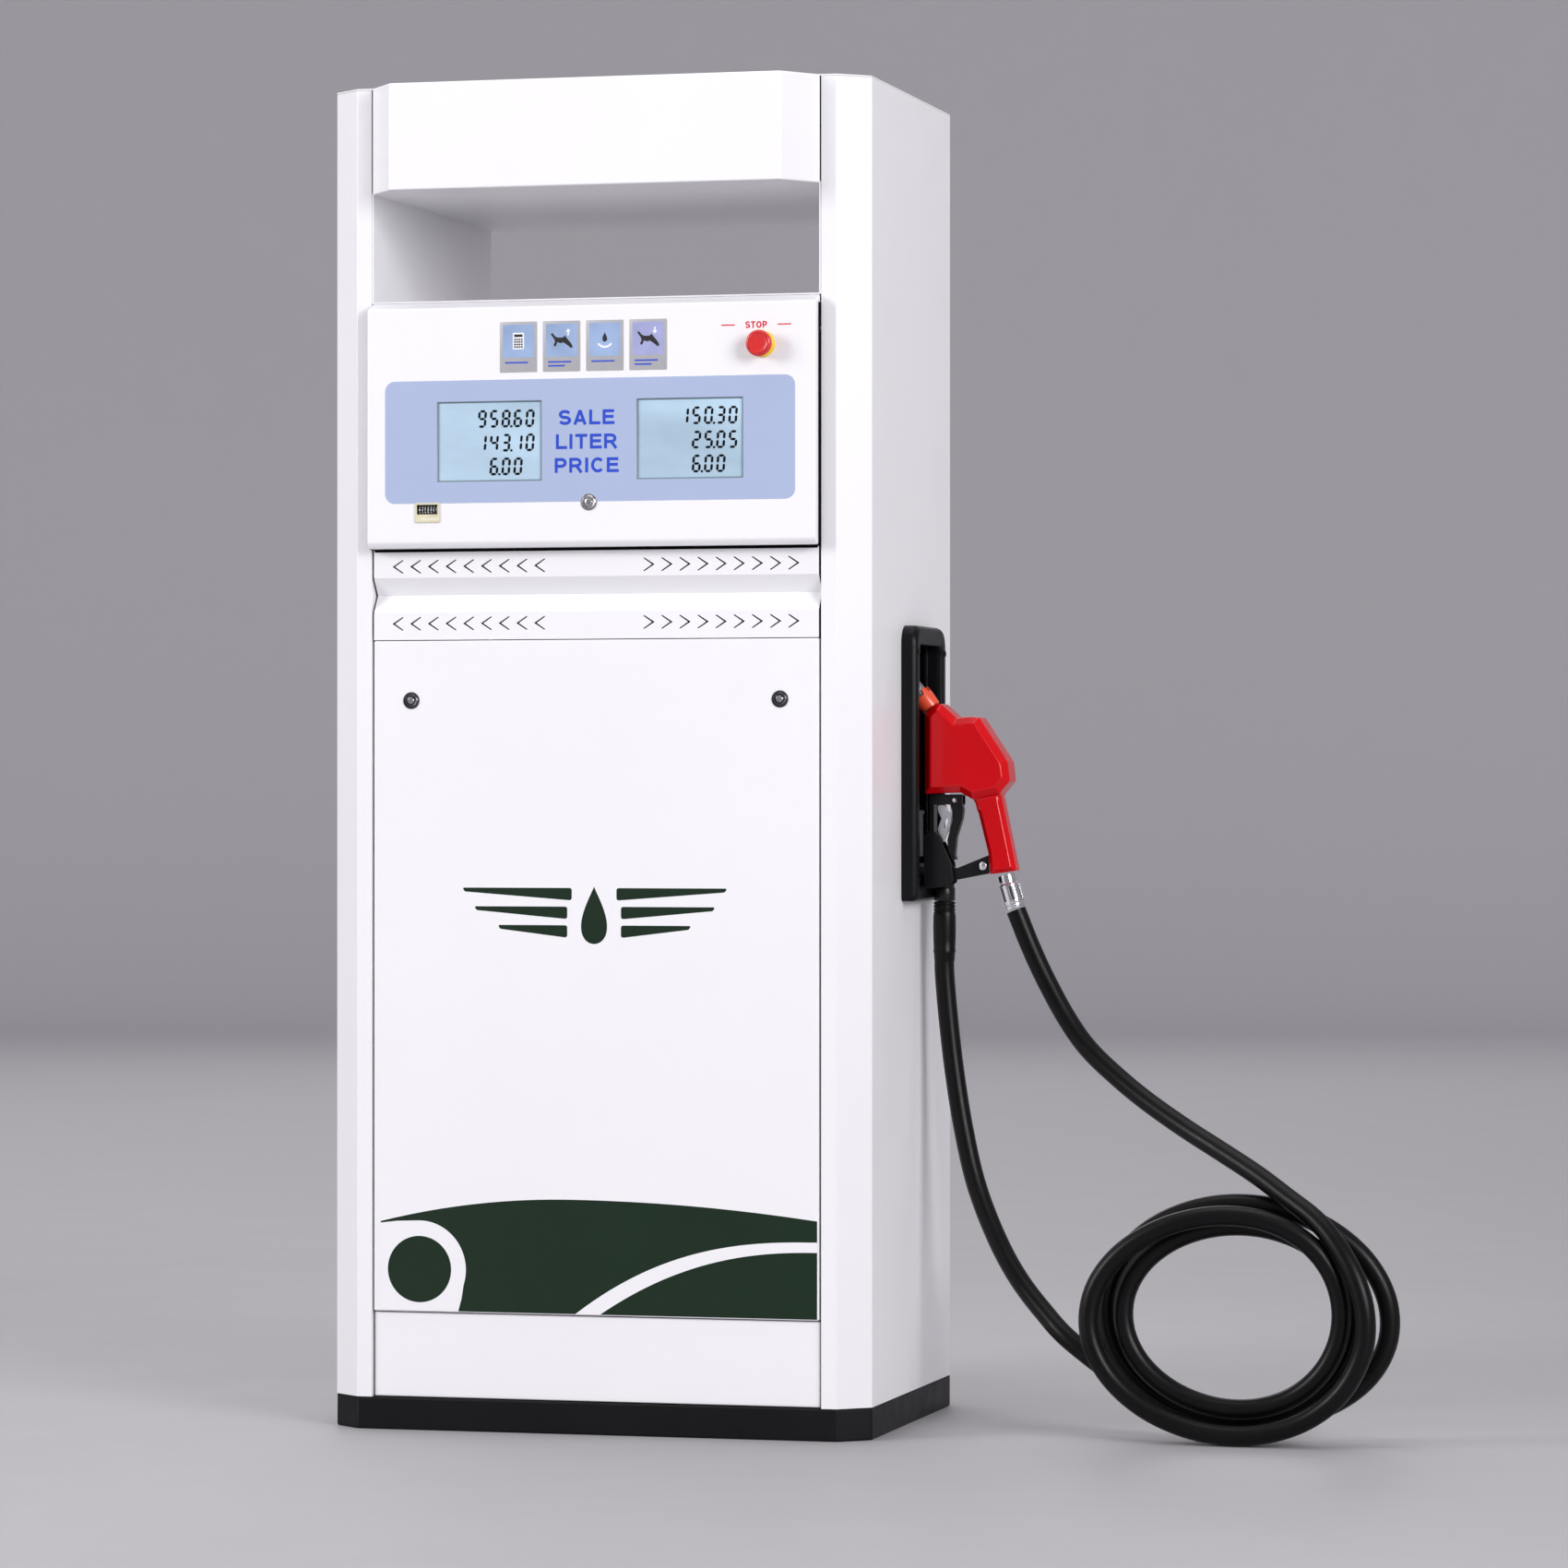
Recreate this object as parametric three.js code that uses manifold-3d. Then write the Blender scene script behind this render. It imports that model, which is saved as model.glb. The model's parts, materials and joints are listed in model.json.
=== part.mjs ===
// Double-sided fuel dispenser: a sheet-metal cabinet with a see-through window under the header,
// hinged display heads, lift-away lower doors, the pumping gear behind them, and one nozzle
// stowed in a boot on the right side, with its delivery hose coiled on the ground.
// Millimetres, +Z up. The origin is the centre of the plinth's underside; -Y is the front.
import * as THREE from "three";
import { mergeVertices } from "three/addons/utils/BufferGeometryUtils.js";
import Module from "manifold-3d";

const wasm = await Module();
wasm.setup();

// Driving dimensions of the cabinet.
const HEIGHT = 1740; // plinth underside to roof
const HALF_WIDTH = 360; // to the outer face of a side
const HALF_DEPTH = 252; // to the front plane of a column
const CHAMFER_X = 39; // column corner chamfer, across the front
const CHAMFER_Y = 33; // and along the side
const BAY = 299; // half width of the bay between the columns
const COLUMN_INNER = 301; // inner edge of a column
const SHEET = 2; // sheet-metal thickness
const GAP = 0.3; // between neighbouring pieces
const SEAM = 3; // visible gap beside a door
const PLINTH_TOP = 41.5;
const FLOOR = PLINTH_TOP + GAP; // where the tray and the columns stand
const TRAY = { x: 296, y: 222, thick: 3 };
const ANCHOR = { x: 270, y: 229, radius: 7 }; // bolt holes through the plinth
const KICK_TOP = 152;
const DOOR_TOP = 1022.5;
const VENT_TOP = 1139.5;
const HEAD_BOTTOM = 1141;
const HEAD_TOP = 1459.5;
const SILL = 1460; // underside of the window
const HEADER_BOTTOM = 1602;
const HEADER_OUT = 50; // header's reach beyond the column plane
const HEADER_FACE = 261; // half width of the header's flat face
const HEAD_OUT = 23; // display head's reach beyond the column plane

// Display head layout, on the front face.
const LCD = { x: 134, z: 1278, w: 142, h: 104 };
const LOCK_RADIUS = 9.3;
const HEAD_LOCK_Z = 1198;
const DOOR_LOCK = { x: 247, z: 945 };
const ESTOP = { x: 230, z: 1396 };
const COUNTER = { x: -217.5, z: 1187, w: 34, h: 26 };
const WINDOW = { w: 28, h: 12, z: 1191 }; // the counter's little window

// Vent panel.
const GROOVE = { top: 1104, bottom: 1059, depth: 17 };
const VENT_ROWS = [1118.5, 1044.5];
const CHEVRON = { count: 9, first: 74, pitch: 24, w: 14, h: 18, slit: 2.4 };

// Nozzle boot on the right side.
const BOOT = { y0: -62, y1: 107, z0: 684, z1: 1044, out: 21 };
const BOOT_OPEN = { y0: -42, y1: 87, z0: 704, z1: 1019, corner: 12 };
const BOOT_CLEAR = 4; // the shell's hole reaches beyond the opening by this much
const WELL = { x0: 262, top: 1112 };

// Nozzle: its datum is the lower front corner of the covered body.
const NOZZLE = { x: 382, y: 6, z: 824 };
const SPOUT_TILT = THREE.MathUtils.degToRad(50); // above the horizontal
const SPOUT_LENGTH = 150;
const SWIVEL_TILT = THREE.MathUtils.degToRad(16); // from the vertical
const SWIVEL = { x: 102.7, z: -105.5, flat: 12.4 }; // from the datum; half width across its flats
const LEVER_PIN = { x: 36, z: -8, radius: 2.1 };

// Delivery hose: 3/4 inch bore.
const HOSE_RADIUS = 13;
const OUTLET = { x: 395, y: 36, pipe: 11, z: 722, bend: 22 };
const SLEEVE_TOP = 683;
const SLEEVE_BOTTOM = 604;
const PUMP_LEG = [
  [395, 36, 602], [400, 34, 536], [410, 29, 460], [425, 19, 383], [445, 5, 313],
  [475, -15, 249], [508, -37, 199], [547, -60, 157], [596, -84, 115],
];
const NOZZLE_LEG = [
  [498, 6, 672], [517, 5, 626], [539, 2, 581], [569, -4, 530], [599, -12, 492],
  [641, -25, 456], [683, -40, 426], [734, -60, 395], [786, -84, 367], [837, -108, 339],
];
const COIL = { x: 815, z: 160, outX: 205, outZ: 159.5, inner: 100, y0: -193, y1: -82 };

// Pumping gear.
const DRIVE_Y = -128; // middle plane of the belt drive
const PUMP = { x: -130, z: 250 };
const MOTOR = { x: 135, z: 150 };
const PUMP_PULLEY = 85;
const MOTOR_PULLEY = 36;
const BELT = 8; // belt thickness
const METER = { x: 70, y: 70, z: 500, radius: 52, height: 120, pipe: 55 };
const PIPE_RADIUS = 12;

// Finishes.
const finish = (color, roughness, metalness = 0) =>
  new THREE.MeshStandardMaterial({ color, roughness, metalness });
const WHITE = finish(0xf4f4f6, 0.38);
const BLACK = finish(0x17181a, 0.5);
const BOOT_BLACK = finish(0x1b1c1f, 0.42);
const RED = finish(0xc8101c, 0.22);
const ORANGE = finish(0xe2452c, 0.3);
const RUBBER = finish(0x1a1a1c, 0.55);
const CHROME = finish(0xd8dadd, 0.15, 1);
const ALUMINIUM = finish(0xb9bcc1, 0.4, 1);
const ZINC = finish(0xa5a8aa, 0.35, 1);
const IRON = finish(0x5d6266, 0.6, 0.6);
const MOTOR_BLUE = finish(0x3c5673, 0.5);
const YELLOW = finish(0xf2c21b, 0.4);
const LCD_GLASS = finish(0xbcd8e8, 0.15);
const BEIGE = finish(0xd8cfb0, 0.5);

// Geometry helpers. Outlines are lists of points; prisms run along one axis.
const outline = (points) => new THREE.Shape(points.map(([u, v]) => new THREE.Vector2(u, v)));

function prism(points, low, high, holes = []) {
  const shape = outline(points);
  shape.holes = holes.map((hole) => outline(hole));
  const geometry = new THREE.ExtrudeGeometry(shape, { depth: high - low, bevelEnabled: false });
  return geometry.translate(0, 0, low);
}

// Outline in X and Y, run along Z.
const prismZ = prism;

// Outline in X and Z, run along Y.
const prismY = (points, low, high, holes) =>
  prism(points, -high, -low, holes).rotateX(Math.PI / 2);

// Outline in Y and Z, run along X.
const prismX = (points, low, high, holes) =>
  prism(points, low, high, holes).rotateY(Math.PI / 2).rotateX(Math.PI / 2);

const rectangle = (u0, u1, v0, v1) => [[u0, v0], [u1, v0], [u1, v1], [u0, v1]];
const box = (x0, x1, y0, y1, z0, z1) => prismZ(rectangle(x0, x1, y0, y1), z0, z1);

function roundedRectangle(u0, u1, v0, v1, radius, steps = 4) {
  const corners = [[u1 - radius, v0 + radius], [u1 - radius, v1 - radius],
    [u0 + radius, v1 - radius], [u0 + radius, v0 + radius]];
  return corners.flatMap(([u, v], corner) =>
    Array.from({ length: steps + 1 }, (_, i) => {
      const angle = (corner - 1 + i / steps) * (Math.PI / 2);
      return [u + radius * Math.cos(angle), v + radius * Math.sin(angle)];
    }));
}

// A bar of round section between two points.
function rod(from, to, radius, sides = 16) {
  const a = new THREE.Vector3(...from);
  const b = new THREE.Vector3(...to);
  const geometry = new THREE.CylinderGeometry(radius, radius, a.distanceTo(b), sides);
  const turn = new THREE.Quaternion().setFromUnitVectors(
    new THREE.Vector3(0, 1, 0), b.clone().sub(a).normalize());
  return geometry.applyQuaternion(turn).translate(...a.clone().add(b).multiplyScalar(0.5));
}

// A turned piece: radius against distance along the axis, from a point in a direction.
function turned(profile, from, direction, sides = 20) {
  const points = [[0, profile[0][1]], ...profile, [0, profile.at(-1)[1]]];
  const lathe = new THREE.LatheGeometry(points.map(([r, l]) => new THREE.Vector2(r, l)), sides);
  const turn = new THREE.Quaternion().setFromUnitVectors(
    new THREE.Vector3(0, 1, 0), new THREE.Vector3(...direction).normalize());
  return lathe.applyQuaternion(turn).translate(...from);
}

// A tube of round section along a smooth curve through points.
function tube(points, radius, steps, sides = 10) {
  const section = Array.from({ length: sides }, (_, i) => {
    const angle = (i / sides) * 2 * Math.PI;
    return [radius * Math.cos(angle), radius * Math.sin(angle)];
  });
  const path = new THREE.CatmullRomCurve3(points.map((point) => new THREE.Vector3(...point)));
  return new THREE.ExtrudeGeometry(outline(section), { steps, extrudePath: path });
}

// Solids for cutting and joining.
function solid(geometry) {
  const bare = geometry.clone();
  bare.deleteAttribute("normal");
  bare.deleteAttribute("uv");
  const merged = mergeVertices(bare, 1e-3);
  const index = new Uint32Array(merged.index.array);
  const vertices = new Float32Array(merged.attributes.position.array);
  const mesh = new wasm.Mesh({ numProp: 3, vertProperties: vertices, triVerts: index });
  return new wasm.Manifold(mesh);
}

function surface(manifold) {
  const mesh = manifold.getMesh();
  const geometry = new THREE.BufferGeometry();
  geometry.setAttribute("position", new THREE.BufferAttribute(mesh.vertProperties, 3));
  geometry.setIndex(new THREE.BufferAttribute(mesh.triVerts, 1));
  geometry.computeVertexNormals();
  return geometry;
}

const join = (first, ...others) =>
  surface(others.reduce((whole, other) => whole.add(solid(other)), solid(first)));
const cut = (body, ...tools) =>
  surface(tools.reduce((whole, tool) => whole.subtract(solid(tool)), solid(body)));

function piece(parent, name, geometry, material) {
  const mesh = new THREE.Mesh(geometry, material);
  mesh.name = name;
  parent.add(mesh);
  return mesh;
}

// The cabinet's plan: a rectangle with chamfered corners, drawn in by some distance.
function plan(inset = 0) {
  const x = HALF_WIDTH - inset;
  const y = HALF_DEPTH - inset;
  const cx = CHAMFER_X - inset * 0.52;
  const cy = CHAMFER_Y - inset * 0.48;
  return [[x, cy - y], [x, y - cy], [x - cx, y], [cx - x, y],
    [-x, y - cy], [-x, cy - y], [cx - x, -y], [x - cx, -y]];
}

// Frame: plinth with a cross-member and anchor holes, the tray that carries the gear, the columns.
function plinth() {
  const ring = prismZ(plan(), 0, PLINTH_TOP, [plan(45).reverse()]);
  const crossMember = box(-HALF_WIDTH + 20, HALF_WIDTH - 20, -40, 40, 0, PLINTH_TOP);
  const anchors = [-1, 1].flatMap((sx) => [-1, 1].map((sy) =>
    rod([sx * ANCHOR.x, sy * ANCHOR.y, -1], [sx * ANCHOR.x, sy * ANCHOR.y, PLINTH_TOP + 1],
      ANCHOR.radius, 12)));
  return cut(join(ring, crossMember), ...anchors);
}

function sideShell(openings) {
  const edge = HALF_DEPTH;
  const flange = edge - 30;
  const outer = [[COLUMN_INNER, -flange], [COLUMN_INNER, -edge], [HALF_WIDTH - CHAMFER_X, -edge],
    [HALF_WIDTH, CHAMFER_Y - edge], [HALF_WIDTH, edge - CHAMFER_Y],
    [HALF_WIDTH - CHAMFER_X, edge], [COLUMN_INNER, edge], [COLUMN_INNER, flange]];
  const inner = [[COLUMN_INNER + SHEET, flange], [COLUMN_INNER + SHEET, edge - SHEET],
    [HALF_WIDTH - CHAMFER_X - 0.7, edge - SHEET], [HALF_WIDTH - SHEET, edge - CHAMFER_Y - 0.9],
    [HALF_WIDTH - SHEET, CHAMFER_Y + 0.9 - edge], [HALF_WIDTH - CHAMFER_X - 0.7, SHEET - edge],
    [COLUMN_INNER + SHEET, SHEET - edge], [COLUMN_INNER + SHEET, -flange]];
  const shell = prismZ([...outer, ...inner], FLOOR, HEIGHT - SHEET - GAP);
  return openings.length ? cut(shell, ...openings) : shell;
}

// The boot's opening in Y and Z, drawn out by some distance.
const bootOpening = (grow) => roundedRectangle(BOOT_OPEN.y0 - grow, BOOT_OPEN.y1 + grow,
  BOOT_OPEN.z0 - grow, BOOT_OPEN.z1 + grow, BOOT_OPEN.corner);

function buildFrame(root) {
  const cabinet = new THREE.Group();
  root.add(cabinet);
  piece(cabinet, "plinth", plinth(), BLACK);
  const tray = join(box(-TRAY.x, TRAY.x, -TRAY.y, TRAY.y, FLOOR, FLOOR + TRAY.thick),
    box(METER.x - 75, METER.x + 75, METER.y - 60, METER.y + 100, METER.z - 6, METER.z - GAP),
    ...[-75, 71].map((dx) => box(METER.x + dx, METER.x + dx + 4, 156, 170, FLOOR, METER.z - 3)));
  const pipeHole = rod([PUMP.x, 100, 0], [PUMP.x, 100, 60], 30);
  piece(cabinet, "base_tray", cut(tray, pipeHole), ZINC);
  const bootHole = prismX(bootOpening(BOOT_CLEAR), HALF_WIDTH - 10, HALF_WIDTH + 5);
  piece(cabinet, "right_side_shell", sideShell([bootHole]), WHITE);
  piece(cabinet, "left_side_shell", sideShell([]), WHITE).rotation.z = Math.PI;
  piece(cabinet, "roof_panel", prismZ(plan(), HEIGHT - SHEET, HEIGHT), WHITE);
  const liner = prismY(rectangle(-300.6, 300.6, SILL, HEADER_BOTTOM + SHEET),
    GAP - HALF_DEPTH, HALF_DEPTH - GAP,
    [rectangle(-298.6, 298.6, SILL + SHEET, HEADER_BOTTOM).reverse()]);
  piece(cabinet, "window_liner", liner, WHITE);
  const shelfTop = HEAD_BOTTOM + TRAY.thick;
  piece(cabinet, "electronics_shelf", box(-TRAY.x, TRAY.x, -245, 245, HEAD_BOTTOM, shelfTop), ZINC);
  const controls = box(-180, 180, -110, 110, shelfTop + GAP, 1330);
  piece(cabinet, "control_box", controls, ZINC);
  return cabinet;
}

// Header cover: a tray with chamfered ends, open towards the cabinet.
function headerCover() {
  const back = -HALF_DEPTH - GAP;
  const face = -HALF_DEPTH - HEADER_OUT;
  const skin = (wall) => [[wall - BAY - 0.5, back], [wall - HEADER_FACE, face + wall],
    [HEADER_FACE - wall, face + wall], [BAY + 0.5 - wall, back]];
  const cavity = [[SHEET * 1.6 - BAY, back + 1], ...skin(SHEET), [BAY - SHEET * 1.6, back + 1]];
  return cut(prismZ(skin(0), HEADER_BOTTOM, HEIGHT),
    prismZ(cavity, HEADER_BOTTOM + SHEET, HEIGHT - SHEET));
}

// Vent panel: folded sheet with a groove along its middle and rows of arrow-shaped slits.
function chevron(x, z, side) {
  const tip = x + (side * CHEVRON.w) / 2;
  const tail = x - (side * CHEVRON.w) / 2;
  const slit = side * CHEVRON.slit;
  const points = [[tip, z], [tail, z + CHEVRON.h / 2], [tail - slit * 0.6, z + CHEVRON.h / 2 - 1],
    [tip - slit * 1.6, z], [tail - slit * 0.6, z - CHEVRON.h / 2 + 1], [tail, z - CHEVRON.h / 2]];
  return prismY(side > 0 ? points : points.reverse(), -HALF_DEPTH - 5, -HALF_DEPTH + 5);
}

function ventPanel() {
  const face = -HALF_DEPTH;
  const middle = (GROOVE.top + GROOVE.bottom) / 2;
  const line = [[face, VENT_TOP], [face, GROOVE.top], [face + GROOVE.depth, middle],
    [face, GROOVE.bottom], [face, DOOR_TOP + 1]];
  const back = line.map(([y, z]) => [y + SHEET, z]).reverse();
  const sheet = prismX([...line, ...back], SEAM - COLUMN_INNER, COLUMN_INNER - SEAM);
  const slits = VENT_ROWS.flatMap((z) => [-1, 1].flatMap((side) =>
    Array.from({ length: CHEVRON.count }, (_, i) =>
      chevron(side * (CHEVRON.first + i * CHEVRON.pitch), z, side))));
  return cut(sheet, ...slits);
}

// A shallow tray: a face with folded edges, open at the back.
function doorTray(x, z0, z1, face, depth) {
  const shell = box(-x, x, face, face + depth, z0, z1);
  const hollow = box(SHEET - x, x - SHEET, face + SHEET, face + depth + 1, z0 + SHEET, z1 - SHEET);
  return cut(shell, hollow);
}

const lockHole = (x, z) => rod([x, -300, z], [x, -200, z], LOCK_RADIUS + 0.4);

// Display head door: bevelled along its top edge, with openings for what shows through it.
function displayDoor(openings) {
  const back = -HALF_DEPTH - 1;
  const face = -HALF_DEPTH - HEAD_OUT;
  const side = (wall) => [[back, HEAD_BOTTOM + wall], [face + wall + 6, HEAD_BOTTOM + wall],
    [face + wall, HEAD_BOTTOM + 7], [face + wall, HEAD_TOP - 9], [back, HEAD_TOP - wall]];
  const inside = [...side(SHEET).slice(1, 4), [back + 1, HEAD_TOP - SHEET * 1.6],
    [back + 1, HEAD_BOTTOM + SHEET]];
  return cut(prismX(side(0), -BAY - 1, BAY + 1), prismX(inside, 1.5 - BAY, BAY - 1.5), ...openings);
}

// Quarter-turn lock: plug with a flange behind the sheet and a cam at its inner end.
function quarterTurnLock(face) {
  const plug = rod([0, face - 2, 0], [0, face + 22, 0], LOCK_RADIUS);
  return join(plug, box(-5, 5, face + 19, face + 22, -32, 4));
}

function buildBay(root, side) {
  const bay = new THREE.Group();
  bay.rotation.z = side === "front" ? 0 : Math.PI;
  root.add(bay);
  const face = -HALF_DEPTH;
  const doorHalf = COLUMN_INNER - SEAM;
  piece(bay, `${side}_header_cover`, headerCover(), WHITE);
  piece(bay, `${side}_vent_panel`, ventPanel(), WHITE);
  const kick = doorTray(doorHalf, PLINTH_TOP + 1, KICK_TOP, face + 5, 18);
  piece(bay, `${side}_kick_panel`, kick, WHITE);

  const lowerDoor = cut(doorTray(doorHalf, KICK_TOP + 1.5, DOOR_TOP, face, 24),
    lockHole(-DOOR_LOCK.x, DOOR_LOCK.z), lockHole(DOOR_LOCK.x, DOOR_LOCK.z));
  piece(bay, `${side}_lower_door`, lowerDoor, WHITE);
  for (const [hand, sign] of [["left", -1], ["right", 1]]) {
    const lock = piece(bay, `${side}_${hand}_door_lock`, quarterTurnLock(face), CHROME);
    lock.position.set(sign * DOOR_LOCK.x, 0, DOOR_LOCK.z);
  }

  const headFace = face - HEAD_OUT;
  const display = (sign) => rectangle(sign * LCD.x - LCD.w / 2, sign * LCD.x + LCD.w / 2,
    LCD.z - LCD.h / 2, LCD.z + LCD.h / 2);
  const openings = [lockHole(0, HEAD_LOCK_Z),
    ...[-1, 1].map((sign) => prismY(display(sign), headFace - 5, headFace + 5))];
  if (side === "front") {
    openings.push(rod([ESTOP.x, headFace - 5, ESTOP.z], [ESTOP.x, headFace + 5, ESTOP.z], 11.4));
    openings.push(prismY(rectangle(COUNTER.x - COUNTER.w / 2 + 1, COUNTER.x + COUNTER.w / 2 - 1,
      COUNTER.z - COUNTER.h / 2 + 1, COUNTER.z + COUNTER.h / 2 - 1), headFace - 5, headFace + 5));
  }
  piece(bay, `${side}_display_door`, displayDoor(openings), WHITE);
  for (const [hand, sign] of [["left", -1], ["right", 1]]) {
    const lcd = box(-LCD.w / 2 - 6, LCD.w / 2 + 6, headFace + SHEET + GAP, headFace + 18,
      -LCD.h / 2 - 6, LCD.h / 2 + 6);
    piece(bay, `${side}_${hand}_display`, lcd, LCD_GLASS).position.set(sign * LCD.x, 0, LCD.z);
  }
  const lock = piece(bay, `${side}_display_lock`, quarterTurnLock(headFace), CHROME);
  lock.position.set(0, 0, HEAD_LOCK_Z);
  if (side === "front") buildHeadFittings(bay, headFace);
}

// Emergency stop and mechanical totaliser, on the front head only.
function buildHeadFittings(bay, face) {
  const stop = new THREE.Group();
  stop.position.set(ESTOP.x, face, ESTOP.z);
  bay.add(stop);
  const inward = [0, 1, 0];
  const collar = cut(
    turned([[14.5, -5], [16, -3], [16, -GAP]], [0, 0, 0], inward, 24), rod([0, -9, 0], [0, 9, 0], 6.4));
  piece(stop, "stop_collar", collar, YELLOW);
  piece(stop, "stop_shaft", rod([0, -13.7, 0], [0, 7.5, 0], 6, 12), ALUMINIUM);
  const mushroom = turned([[14, -12.5], [16.5, -14], [16.5, -18], [13, -21.5], [6, -23]].reverse(),
    [0, 0, 0], inward, 24);
  const socket = rod([0, -14, 0], [0, -9, 0], 6.3, 12);
  piece(stop, "stop_mushroom", cut(mushroom, socket), RED);

  const counter = new THREE.Group();
  counter.position.set(COUNTER.x, face, COUNTER.z);
  bay.add(counter);
  const housing = box(-COUNTER.w / 2 + 1.4, COUNTER.w / 2 - 1.4, -1.5, 24,
    -COUNTER.h / 2 + 1.4, COUNTER.h / 2 - 1.4);
  const raised = WINDOW.z - COUNTER.z;
  const window = box(-WINDOW.w / 2, WINDOW.w / 2, -3, 18, raised - WINDOW.h / 2, raised + WINDOW.h / 2);
  piece(counter, "totaliser_housing", cut(housing, window), BEIGE);
  const wheels = rod([-WINDOW.w / 2 + 0.5, 8, raised], [WINDOW.w / 2 - 0.5, 8, raised], 5.6, 20);
  piece(counter, "totaliser_wheels", wheels, BLACK);
}

// Nozzle boot: the moulded surround outside, the well behind it, and the flap that works the switch.
function buildBoot(root) {
  const boot = new THREE.Group();
  root.add(boot);
  const front = HALF_WIDTH + BOOT.out;
  const rim = (x0, x1, inset) => prismX(
    roundedRectangle(BOOT.y0 + inset, BOOT.y1 - inset, BOOT.z0 + inset, BOOT.z1 - inset, 24), x0, x1);
  const opening = prismX(bootOpening(0), HALF_WIDTH - 20, HALF_WIDTH + 40);
  const surround = join(rim(HALF_WIDTH + GAP, front - 6, 0), rim(front - 6.5, front, 5));
  piece(boot, "nozzle_boot", cut(surround, opening), BOOT_BLACK);

  const back = HALF_WIDTH - SHEET - GAP;
  const wall = 2.5;
  const shell = box(WELL.x0, back, BOOT_OPEN.y0 - 8, BOOT_OPEN.y1 + 8, BOOT_OPEN.z0 - 6, WELL.top);
  const hollow = box(WELL.x0 + wall, back - wall, BOOT_OPEN.y0 - 5, BOOT_OPEN.y1 + 5,
    BOOT_OPEN.z0 - 3, WELL.top - wall);
  const mouth = box(back - 10, back + 5, BOOT_OPEN.y0, BOOT_OPEN.y1, BOOT_OPEN.z0, BOOT_OPEN.z1);
  const pipeHole = rod([WELL.x0 - 5, OUTLET.y, OUTLET.z], [WELL.x0 + 5, OUTLET.y, OUTLET.z],
    OUTLET.pipe + 0.6);
  piece(boot, "boot_well", cut(shell, hollow, mouth, pipeHole), BOOT_BLACK);

  const flap = join(box(-3, 3, -18, 18, -58, -2), rod([0, -22, 0], [0, 22, 0], 4, 12));
  piece(boot, "switch_flap", flap, BOOT_BLACK).position.set(366, NOZZLE.y, 800);
}

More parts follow.
